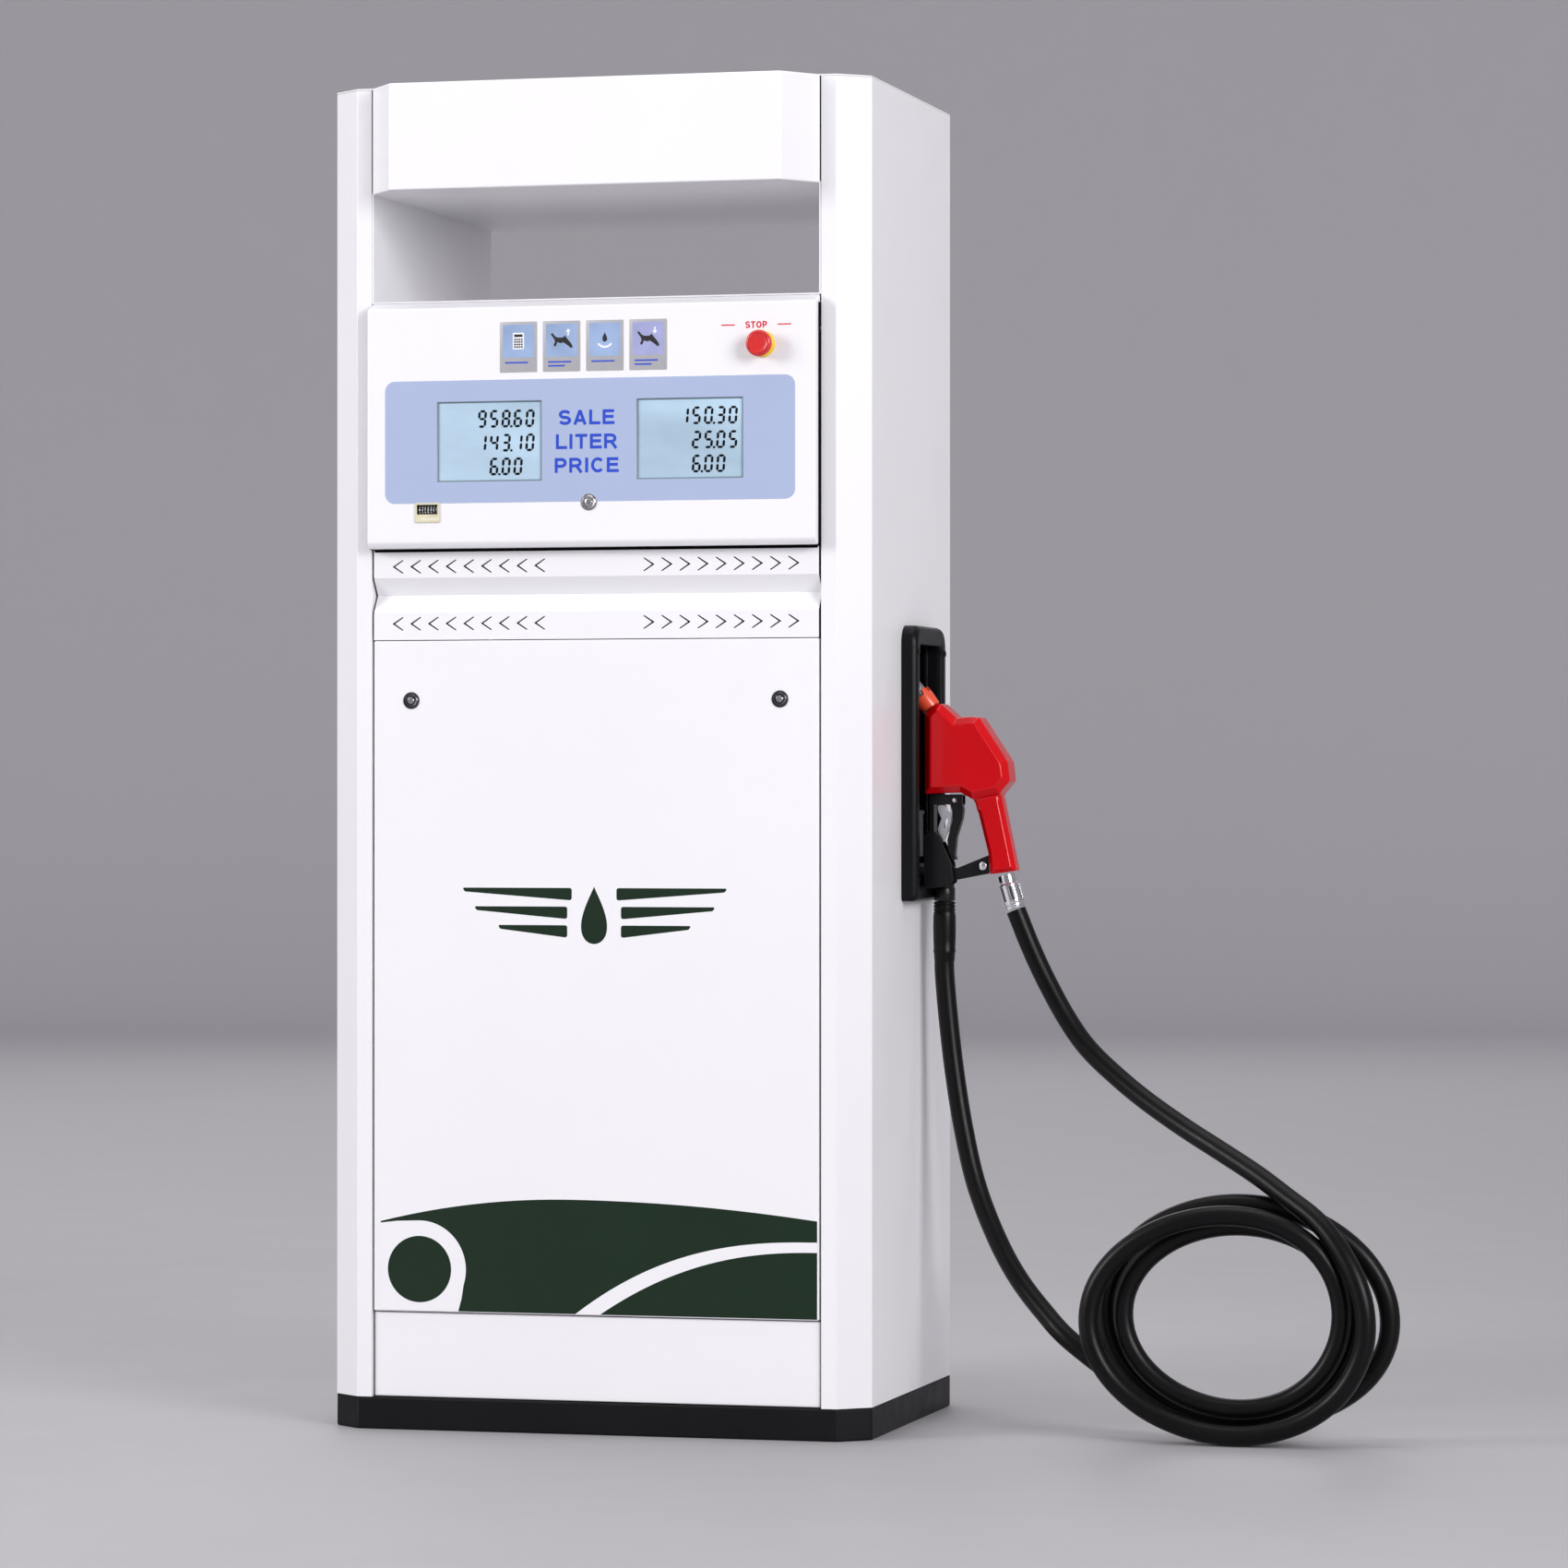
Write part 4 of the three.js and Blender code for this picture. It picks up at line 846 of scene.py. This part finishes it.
def make_panel(side):
    """The blue printed film round both displays, with its three words."""
    body = f"{side}_head"
    place = facing(y=HEAD_FACE)
    p = BLUE_PANEL
    edge = rounded(rectangle(p["x0"], p["x1"], p["z0"], p["z1"]), p["corner"], 8)
    film = slab(edge, 0, 0.35, place, 0.1, 1)
    outlines = [circle(0, extent("front_display_lock")[5] - LOCK_RADIUS, 9.8)]
    for hand in ("left", "right"):
        x0, x1, _, _, z0, z1 = extent(f"front_{hand}_display")
        outlines.insert(-1, rounded(rectangle(x0 + 6.2, x1 - 6.2, z0 + 6.2, z1 - 6.2), 1.2))
    sheet = shape(f"{side}_blue_film", film)
    carved(sheet, *[shape("hole", slab(outline, -5, 5, place)) for outline in outlines])
    smooth(sheet.data, 20)
    rear_turned(sheet.data, side)
    sheet.data.name = f"{side}_blue_film"
    own(sheet, body, "blue")
    for word, row in zip(WORDS, ROWS):
        part = block_word(word, -3.2, row, 19, 3.9, facing(y=HEAD_FACE - 0.33), 1.36)
        piece(f"{side}_word_{word.lower()}", part, body, "ink_blue", side=side)


LOCK_RADIUS = 9.3


def make_lock(node, body, side, look):
    """A cam lock: the ring on the sheet, and the plug with its key slot and cam, which turns."""
    x0, x1, _, _, _, top = extent("front" + node.removeprefix(side))
    face = HEAD_FACE if "display" in node else DOOR_FACE
    x, z = middle(x0, x1), top - LOCK_RADIUS
    place, out = facing(y=face), (0, -1, 0)
    radius = LOCK_RADIUS - 0.2
    plug = [(0.4, 1.6), (radius * 0.5, 1.6), (radius * 0.58, 1.2), (radius * 0.6, -0.3),
            (radius * 0.66, -0.3), (radius * 0.68, 1.5), (radius * 0.86, 1.8), (radius * 0.97, 1.0),
            (radius, 0), (radius, -22)]
    barrel = lathe(plug, (x, face, z), out, 40)
    cam = slab(rounded(rectangle(x - 5, x + 5, z - 32, z + 4), 2.5), -22, -19, place, 0.4)
    lock = shape(f"{node}_plug", merged(barrel, cam))
    slot = slab(rounded(rectangle(x - 0.8, x + 0.8, z - 3.6, z + 3.6), 0.5, 2), -0.5, 4, place)
    carved(lock, shape("slot", slot))
    smooth(lock.data, 30)
    rear_turned(lock.data, side)
    own(lock, body, look, (node,))
    section = [(0.15, -1), (0.15, 0.6), (0.5, 1.1), (1.3, 1.2), (1.9, 0.5), (2.0, 0.05)]
    ring = front_ring([(radius + r, d) for r, d in section], x, face, z, 48)
    piece(f"{node}_ring", ring, frame_parent(body), look, side=side, angle=30)
    pin = lathe([(0.4, 1.75), (3.6, 1.75), (4.2, 1.3), (4.3, 0.4)], (x, face, z), out, 32)
    core = shape(f"{node}_core", pin, side, 30)
    key = slab(rounded(rectangle(x - 0.8, x + 0.8, z - 3.2, z + 3.2), 0.5, 2), 1.2, 4, place)
    carved(core, shape("slot", key, side))
    smooth(core.data, 30)
    own(core, body, "chrome")


def frame_parent(body):
    """The body that a joint hangs this one on."""
    return next(joint["parent"] for joint in frame["joints"] if joint["child"] == body)


def make_locks(side):
    for hand in ("left", "right"):
        make_lock(f"{side}_{hand}_door_lock", f"{side}_{hand}_lock", side, "dark_steel_and_flute_shade")
    make_lock(f"{side}_display_lock", f"{side}_head_lock", side, "steel")


def make_stop():
    """Stop button: ring, stem, a mushroom head with a raised rim and three turn marks, and its label."""
    x0, x1, _, _, z0, z1 = extent("stop_mushroom")
    x, z = middle(x0, x1), middle(z0, z1)
    centre, out, place = (x, HEAD_FACE, z), (0, -1, 0), facing(y=HEAD_FACE)
    collar = [(6.6, 0.3), (16.6, 0.3), (17, 0.8), (17, 2.6), (16.2, 4.6), (15.0, 5.6), (14, 5.8), (6.6, 5.8)]
    piece("stop_ring", front_ring(collar, *centre, 64), "front_head", "yellow", "stop_collar")
    piece("stop_stem", lathe([(6, -7), (6, 13.5)], centre, out, 32), "stop_stem", "aluminium", "stop_shaft")
    button = [(6.6, 13.9), (12.5, 13.9), (14.8, 14.4), (16.6, 16.0), (17, 18), (16.4, 20.4), (14.6, 22.0),
              (12.6, 22.5), (11.8, 22.3), (11.2, 21.9), (6, 22.3), (0.5, 22.4)]
    piece("stop_button", lathe(button, centre, out, 64), "stop_head", "stop_red", "stop_mushroom", angle=40)
    marks = []
    for start in (30, 150, 270):
        band = arc(x, z, 13.6, start, start + 62, 10) + arc(x, z, 12.6, start + 62, start, 10)
        marks.append(slab(band, 22.1, 22.75, place, 0.1, 1))
        tip = math.radians(start + 74)
        foot = math.radians(start + 60)
        head = [(x + 14.4 * math.cos(foot), z + 14.4 * math.sin(foot)),
                (x + 13.1 * math.cos(tip), z + 13.1 * math.sin(tip)),
                (x + 11.8 * math.cos(foot), z + 11.8 * math.sin(foot))]
        marks.append(slab(head, 22.1, 22.75, place))
    piece("stop_turn_marks", merged(*marks), "stop_head", "stop_dark")
    words = block_word("STOP", x - 8, z + 25, 8.6, 1.8, place)
    bars = [slab(rounded(rectangle(x - 8 + u, x + 10 + u, z + 24.2, z + 25.8), 0.6), 0, FILM, place)
            for u in (-46, 28)]
    piece("stop_label", merged(words, *bars), "front_head", "ink_red")


def make_totaliser():
    """Mechanical counter: a beige frame, and seven figure wheels on one shaft."""
    x0, x1, _, back, z0, z1 = extent("totaliser_housing")
    wx0, wx1, wy0, wy1, wz0, wz1 = extent("totaliser_wheels")
    axis_y, axis_z = middle(wy0, wy1), middle(wz0, wz1)
    place = facing(y=HEAD_FACE)
    block = slab(rounded(rectangle(x0 - 1.2, x1 + 1.2, z0 - 1.2, z1 + 1.2), 1), 0, 1.7, place, 0.5)
    body = slab(rectangle(x0, x1, z0, z1), HEAD_FACE - back, 0.1, place)
    housing = shape("totaliser_frame", merged(block, body))
    window = slab(rectangle(wx0 - 0.6, wx1 + 0.6, axis_z - 6.2, axis_z + 6.2), -18, 6, place)
    carved(housing, shape("window", window))
    own(housing, "front_head", "beige", ("totaliser_housing",))
    count, radius = 7, 5.4
    pitch = (wx1 - wx0) / count
    parts = []
    for i in range(count):
        left = wx0 + i * pitch + 0.15
        wheel = [(1.6, 0), (radius - 0.3, 0), (radius, 0.3), (radius, pitch - 0.6),
                 (radius - 0.3, pitch - 0.3), (1.6, pitch - 0.3)]
        parts.append(lathe(wheel, (left, axis_y, axis_z), (1, 0, 0), 40))
    piece("totaliser_figure_wheels", merged(*parts), "counter", "nylon", "totaliser_wheels")
    figures = bpy.data.meshes.new("totaliser_figures")
    join = bmesh.new()
    for i in range(count):
        for figure in range(10):
            mesh = figure_mesh(str(figure), 1.9, 2.7, 0.12, (wx0 + (i + 0.5) * pitch, -radius, 0))
            turn = Matrix.Rotation(math.radians(36 * (figure - (3 * i + 1) % 10)), 4, "X")
            mesh.transform(Matrix.Translation((0, axis_y * MM, axis_z * MM)) @ turn)
            join.from_mesh(mesh)
            bpy.data.meshes.remove(mesh)
    join.to_mesh(figures)
    join.free()
    own(new_object("totaliser_figures", figures), "counter", "ink_white")


# ---------------------------------------------------------------- livery on the lower doors
LIVERY = {"left": -288.6, "right": 296, "peak": -36, "top": 302, "left_z": 270, "right_z": 280, "foot": 155}
DISC = {"x": -235.7, "z": 208.7, "inner": 43, "outer": 63}


def decal(name, outline, side, layer, look):
    film = slab(outline, FILM * layer, FILM * (layer + 1), facing(y=DOOR_FACE))
    piece(f"{side}_{name}", film, f"{side}_door", look, side=side)


def make_livery(side):
    """A green field with an arched top, a white sweep across it, and a disc in a white ring."""
    v = LIVERY
    count = 28

    def top(x):
        reach, z = ((v["peak"] - v["left"], v["left_z"]) if x < v["peak"] else
                    (v["right"] - v["peak"], v["right_z"]))
        return v["top"] - (v["top"] - z) * ((x - v["peak"]) / reach) ** 2

    xs = [v["left"] + (v["right"] - v["left"]) * i / count for i in range(count + 1)]
    field = [(v["left"], v["foot"]), (v["right"], v["foot"])] + [(x, top(x)) for x in reversed(xs)]
    decal("livery_field", field, side, 0, "green")

    def sweep(start, rise, power):
        return [(start + (v["right"] - start) * t, v["foot"] + rise * (1 - (1 - t) ** power))
                for t in (i / count for i in range(count + 1))]
    band = sweep(8, 85, 2.3) + sweep(-25, 98, 2.5)[::-1]
    decal("livery_sweep", band, side, 1, "white")
    d = DISC
    ring = [(v["left"] - 3, v["foot"])] + [(-183, v["foot"]), (-178.5, 172)]
    ring += arc(d["x"], d["z"], d["outer"], -18, 90, 20)
    ring += [(v["left"] + 22, top(v["left"]) + 0.6), (v["left"] - 3, top(v["left"]) - 2.5)]
    decal("livery_ring", ring, side, 1, "white")
    decal("livery_disc", circle(d["x"], d["z"], d["inner"], 64), side, 2, "green")


def make_emblem(side):
    """A plain badge in the middle of the door: a drop between tapered bars."""
    z, place = 671, facing(y=DOOR_FACE)
    drop = [(24 * math.sin(a) * math.sin(a / 2) ** 1.3, z - 3 + 37 * math.cos(a)) for a in full_turn(40)]
    parts = [slab(drop[::-1], 0, FILM, place)]
    for sign in (-1, 1):
        for height, near, far in ((24, 30, 174), (0, 36, 158), (-24, 36, 126)):
            bar = [(sign * near, z + height - 8), (sign * far, z + height + 3),
                   (sign * (far + 4), z + height + 8), (sign * near, z + height + 8)]
            bar = rounded(bar if sign > 0 else bar[::-1], 3, 4)
            parts.append(slab(bar, 0, FILM, place))
    piece(f"{side}_badge", merged(*parts), f"{side}_door", "green", side=side)


# ---------------------------------------------------------------- boot, nozzle and swivel
SPOUT_TILT, SWIVEL_TILT = 50, 16


def oblong(y0, y1, z0, z1, low, high):
    """A rectangle in Y and Z whose lower and upper corners have different rounds."""
    return rounded(rectangle(y0, y1, z0, z1), [low, low, high, high], 8)


def make_boot():
    """Moulded surround: rounded shoulders, a sloping face down to the opening, and the well behind."""
    x0, x1, y0, y1, z0, z1 = extent("nozzle_boot")
    _, _, well_y0, well_y1, well_z0, _ = extent("boot_well")
    outside = oblong(y0, y1, z0, z1, 7, 24)
    opening = oblong(well_y0 + 8, well_y1 - 8, well_z0 + 6, z1 - 25, 5, 14)

    def between(share):
        return [tuple(Vector(a).lerp(Vector(b), share)) for a, b in zip(outside, opening)]
    levels = [(0, x0), (0, x1 - 8), (0.02, x1 - 6.2), (0.12, x1 - 2.2), (0.2, x1 - 0.6), (0.3, x1),
              (0.72, x1), (0.84, x1 - 0.4), (0.94, x1 - 1.6), (1.0, x1 - 4), (1.0, x1 - 12), (1.0, x0)]
    loops = [[(x, y, z) for y, z in between(share)] for share, x in levels]
    piece("nozzle_boot_surround", loft(loops, ring=True), "cabinet", "boot", "nozzle_boot", angle=35)
    refined("boot_well", "boot", fold=3, rim=0.5)
    refined("switch_flap", "nylon", fold=2, rim=0.8, chosen=runs_along_y)
    screws = [lathe([(0.6, 1.7), (3.4, 1.6), (4.4, 0.8), (4.6, 0)], (x1 - 0.3, y, z), (1, 0, 0), 24)
              for y in (y0 + 9.5, y1 - 9.5) for z in (z0 + 26, z1 - 34)]
    piece("nozzle_boot_screws", merged(*screws), "cabinet", "boot")


def soft_joined(name, parts, voxel, passes, body, look, *replaced):
    """Parts fused into one soft-edged moulding."""
    obj = shape(name, merged(*parts))
    fuse = obj.modifiers.new("fuse", "REMESH")
    fuse.mode, fuse.voxel_size = "VOXEL", voxel * MM
    ease = obj.modifiers.new("ease", "SMOOTH")
    ease.factor, ease.iterations = 0.5, passes
    thin = obj.modifiers.new("thin", "DECIMATE")
    thin.ratio = 0.35
    applied(obj)
    obj.data.name = name
    smooth(obj.data, 75)
    return own(obj, body, look, replaced)


def cad_part(node):
    """A node's points and faces in millimetres."""
    bm = clean_copy(node)
    bm.verts.index_update()
    points = [tuple(v.co / MM) for v in bm.verts]
    faces = [tuple(v.index for v in face.verts) for face in bm.faces]
    bm.free()
    return points, faces


def make_nozzle():
    """Vinyl-covered nozzle: the cover, collar, spout, guard, rack, trigger and swivel."""
    x0, _, y0, y1, z0, _ = extent("nozzle_body")
    x, y, z = x0 + 2, middle(y0, y1), z0 + 105
    place = facing(x, y, z)
    root = rounded([(42, 6), (58, -3), (64, -12), (67, -24), (84, -24), (84, 8)], 2)
    heel = rounded([(84, 8), (94, -22), (96, -6), (101, 4), (106, 10)], 2)
    parts = [cad_part("nozzle_body"), slab(root, -16, 16, place, 5), slab(heel, -15, 15, place, 3)]
    soft_joined("nozzle_cover", parts, 1.1, 4, "nozzle", "red", "nozzle_body")
    make_collar()
    seam = slab(rounded(rectangle(89.5, 95.5, -53.4, -52.6), 0.3, 2), 16.6, 17.25, place, 0.2)
    piece("nozzle_cover_seam", seam, "nozzle", "red")
    refined("lever_guard", "nylon", fold=3.2, rim=1.6, chosen=runs_along_y)
    refined("hold_open_rack", "aluminium", fold=1.8, rim=1.0, chosen=runs_along_y)
    refined("trigger_lever", "nylon", fold=3, rim=1.5, chosen=runs_along_y)
    rivet = [(0.5, -11.4), (3.2, -11.2), (5.2, -10.2), (5.6, -9.5), (5.6, 9.5), (5.2, 10.2), (3.2, 11.2),
             (0.5, 11.4)]
    piece("guard_rivet", lathe(rivet, place(73.4, -94, 0), (0, 1, 0), 32), "nozzle", "chrome")
    pin = [(0.4, -12), (2.6, -11.6), (3.4, -10.4), (3.4, -9.8), (2.1, -9.7), (2.1, 9.7), (3.4, 9.8),
           (3.4, 10.4), (2.6, 11.6), (0.4, 12)]
    piece("trigger_pivot", lathe(pin, place(36, -8, 0), (0, 1, 0), 24), "nozzle", "chrome", "trigger_pin")
    cheek = rounded([(-1, -55), (6, -51.5), (12.5, -57.5), (28, -91), (29.5, -103.7), (31, -114), (14, -119),
                     (-1, -120)], 2)
    for face_side in (-1, 1):
        flank = facing(x, y, z) if face_side > 0 else (lambda u, v, w: (x + u, y + w, z + v))
        name = "guard_cheek_near" if face_side > 0 else "guard_cheek_far"
        piece(name, slab(cheek, 8.5, 13.5, flank, 3.5), "nozzle", "nylon")
    make_spout()
    make_swivel(place(102.7, -105.5, 0))


def spout_line():
    """The spout's foot, direction and radius, from its node."""
    _, x1, y0, y1, z0, _ = extent("nozzle_spout")
    tilt = math.radians(SPOUT_TILT)
    radius = (y1 - y0) / 2
    foot = Vector((x1 - radius * math.sin(tilt), middle(y0, y1), z0 + radius * math.cos(tilt)))
    return foot, Vector((-math.cos(tilt), 0, math.sin(tilt))), radius


def make_collar():
    """Spout collar with a notched crown."""
    foot, way, radius = spout_line()
    profile = [(9, -21), (12.6, -20.4), (13, -19), (14.2, -4), (14.2, 5.4), (13.6, 6), (radius + 0.2, 6),
               (radius + 0.2, -6), (9, -12)]
    collar = shape("spout_collar_crown", lathe(profile, foot, way, 60))
    across, along = Vector((0, 1, 0)), way
    third = across.cross(along)
    tools = []
    for k in range(3):
        a = math.pi * k / 3 + 0.3
        side_way = across * math.cos(a) + third * math.sin(a)
        depth_way = third * math.cos(a) - across * math.sin(a)
        notch = slab([(-3.2, -1.5), (3.2, -1.5), (4.6, 8), (-4.6, 8)], -20, 20,
                     lambda u, v, w, s=side_way, d=depth_way: tuple(foot + s * u + along * v + d * w))
        tools.append(shape("notch", notch))
    carved(collar, *tools)
    smooth(collar.data, 40)
    own(collar, "nozzle", "orange", ("spout_collar",))


def make_spout():
    """The spout's tube, with a rolled mouth."""
    foot, way, radius = spout_line()
    length = 127.5
    outer = [(radius, 0), (radius, length - 40), (radius - 0.5, length - 32), (radius - 1, length - 3),
             (radius - 1.2, length - 0.6), (radius - 2, length), (radius - 2.8, length - 0.8),
             (radius - 3, length - 3), (radius - 3, 60), (0.5, 60)]
    # Its darker aluminium is painted shade of the boot's well.
    piece("nozzle_spout_tube", lathe(outer, foot, way, 40), "nozzle", "spout", "nozzle_spout")


def make_swivel(origin):
    """Chrome hose swivel: a narrow neck, a fluted nut and a crimped ferrule."""
    tilt = math.radians(SWIVEL_TILT)
    way = (math.sin(tilt), 0, -math.cos(tilt))

    def flutes(angle, along):
        if not 15.5 < along < 35:
            return 1
        share = (angle / (2 * math.pi) * 6) % 1
        return 0.9 if share < 0.38 else 1.0
    profile = [(9, 0), (11.4, 0.3), (11.6, 1), (11.6, 9.5), (11, 10.2), (11, 11.4), (12.6, 12.2),
               (13.7, 13.6), (13.8, 15.4), (13.8, 15.6), (13.8, 34.9), (13.8, 35.1), (13.8, 38), (13.4, 39.2),
               (12.9, 39.8), (12.9, 40.8), (13.3, 41.4), (13.3, 44.8), (12.8, 45.8), (11.5, 46)]
    piece("swivel_nut", lathe(profile, origin, way, 144, flutes), "swivel", "chrome", "hose_swivel", angle=28)
    # Painted shade and painted reflection: a dark ring just under the flutes' floors darkens them, standing
    # for the dark bands the chrome mirrors there.
    floor = [(12, 15.7), (12.75, 16.2), (12.75, 34.3), (12, 34.8)]
    piece("swivel_flute_shade", lathe(floor, origin, way, 72), "swivel", "dark_steel_and_flute_shade")


# ---------------------------------------------------------------- pumping gear
def hex_bolts(places, radius, direction, height):
    profile = [(radius, 0), (radius, height - 0.8), (radius * 0.88, height)]
    return merged(*[lathe(profile, p, direction, 24, hexagon) for p in places])


def make_gear():
    """Pump, motor, meter, valve and pipes, with their bolts and cooling fins."""
    for node, look, fold, rim in (
            ("pump_unit", "iron", 5, 1), ("solenoid_valve", "iron", 2, 1), ("flow_meter", "aluminium", 3, 1),
            ("motor", "motor", 4, 1), ("pulser_disc", "chrome", 2.5, 0.4), ("pump_pulley", "iron", 2.5, 0.8),
            ("motor_pulley", "iron", 2.5, 0.8), ("drive_belt", "belt", 1, 0.8)):
        refined(node, look, fold, rim)
    for node in ("inlet_pipe", "pump_outlet_pipe", "meter_outlet_pipe", "outlet_elbow"):
        refined(node, "zinc")
    _, x1, y0, y1, z0, _ = extent("outlet_elbow")
    shroud = [(11.3, 0), (13.6, 0.2), (14, 1), (14, 16), (13.4, 17.5), (12.9, 18), (12.9, 24), (12.2, 25),
              (11.3, 25)]
    elbow = (x1 - 11.1, middle(y0, y1), z0 + 0.3)
    piece("outlet_shroud", lathe(shroud, elbow, (0, 0, 1), 48), "cabinet", "nylon")
    x0, x1, _, _, z0, z1 = extent("motor_pulley")
    x, z = middle(x0, x1), middle(z0, z1)
    shell, start, end = 77, -66, 141
    fins = []
    for k in range(40):
        a = math.radians(9 * k)
        if not -0.62 <= math.sin(a) <= 0.72:
            continue
        across, along = Vector((-math.sin(a), math.cos(a))), Vector((math.cos(a), math.sin(a)))
        root, tip = Vector((x, z)) + along * shell, Vector((x, z)) + along * (shell + 8)
        fin = [root - across * 1.6, tip - across * 0.9, tip + across * 0.9, root + across * 1.6]
        fins.append(slab([tuple(p) for p in fin], -end, -start, facing(), 0.5, 1))
    piece("motor_fins", merged(*fins), "cabinet", "motor")
    x0, x1, _, _, z0, z1 = extent("pump_pulley")
    x, z = middle(x0, x1), middle(z0, z1)
    face = extent("pump_unit")[2]
    ring = [(u, face, v) for u, v in circle(x, z, 50, 8)]
    corners = [(x + u, -60, z + v) for u in (-74, 74) for v in (-86, 78)]
    piece("pump_bolts", hex_bolts(ring + corners, 6.5, (0, -1, 0), 5), "cabinet", "zinc")
    x0, x1, y0, y1, _, top = extent("flow_meter")
    rim = [(u, v, top) for u, v in circle(middle(x0, x1), middle(y0, y1), 43, 6)]
    piece("meter_bolts", hex_bolts(rim, 5, (0, 0, 1), 4), "cabinet", "zinc")


# ---------------------------------------------------------------- studio
def make_stage():
    """A pale floor that curves up into a pale wall all round."""
    reach, bend, height = 13000, 2500, 9000
    floor = [(r, 0) for r in (40, 500, 1200, 2500, 5000, 9000, reach)]
    sweep = [(reach + bend * math.sin(a), bend * (1 - math.cos(a)))
             for a in (math.pi / 2 * k / 12 for k in range(1, 13))]
    profile = floor + sweep + [(reach + bend, height)]
    points, faces = loft([[(u, v, z) for u, v in circle(0, 0, r, 96)] for r, z in profile], ends=False)
    faces.append(tuple(range(96))[::-1])
    stage = shape("studio_floor", (points, faces), angle=60)
    grey = surface("studio_grey", FLOOR_GREY, 0.55, shade=0.02, cloud=0.6, grain=40, relief=0.02, gloss=0.3)
    tree = grey.node_tree
    distance = add_node(tree, "VectorMath")
    distance.operation = "LENGTH"
    tree.links.new(tree.nodes.new("ShaderNodeTexCoord").outputs["Object"], distance.inputs[0])
    share = spread(tree, distance.outputs["Value"], 0, 1, (2.5, 12.5))
    tone = two_tone(tree, share, FLOOR_GREY, WALL_GREY, (0.0, 1.0))
    tree.links.new(tone, tree.nodes["Principled BSDF"].inputs["Base Color"])
    stage.data.materials.append(grey)


def softbox(name, place, aim, size, power):
    data = bpy.data.lights.new(name, "AREA")
    data.shape, data.size, data.size_y, data.energy = "RECTANGLE", *size, power
    light = new_object(name, data)
    light.location = place
    light.rotation_euler = (Vector(aim) - Vector(place)).to_track_quat("-Z", "Y").to_euler()


def make_studio():
    make_stage()
    softbox("key", (-6.0, -4.7, 3.4), (0, 0, 0.9), (3.2, 3.2), KEY_POWER)
    softbox("fill", (5.5, -4.5, 3.0), (0, 0, 0.8), (3.0, 3.0), FILL_POWER)
    softbox("back", (-3.0, 9.5, 5.5), (0, 0, 1.2), (6.0, 4.0), BACK_POWER)
    softbox("rim", (-5.0, 3.6, 6.2), (0.4, 0, 0.9), (3.0, 1.2), RIM_POWER)
    softbox("top", (0, 0, 6.5), (0, 0, 0), (5.0, 5.0), TOP_POWER)
    world = bpy.data.worlds.new("studio")
    world.use_nodes = True
    world.node_tree.nodes["Background"].inputs["Color"].default_value = (0.95, 0.92, 0.98, 1)
    world.node_tree.nodes["Background"].inputs["Strength"].default_value = SKY
    bpy.context.scene.world = world
    bpy.context.scene.view_settings.view_transform = "Standard"


make_camera()
make_hose()
make_cabinet()
for each_side in SIDES:
    for each_hand in ("left", "right"):
        make_display(each_side, each_hand)
    make_panel(each_side)
    make_seals(each_side)
    make_plates(each_side)
    make_locks(each_side)
    make_livery(each_side)
    make_emblem(each_side)
make_stop()
make_totaliser()
make_boot()
make_nozzle()
make_gear()
make_studio()
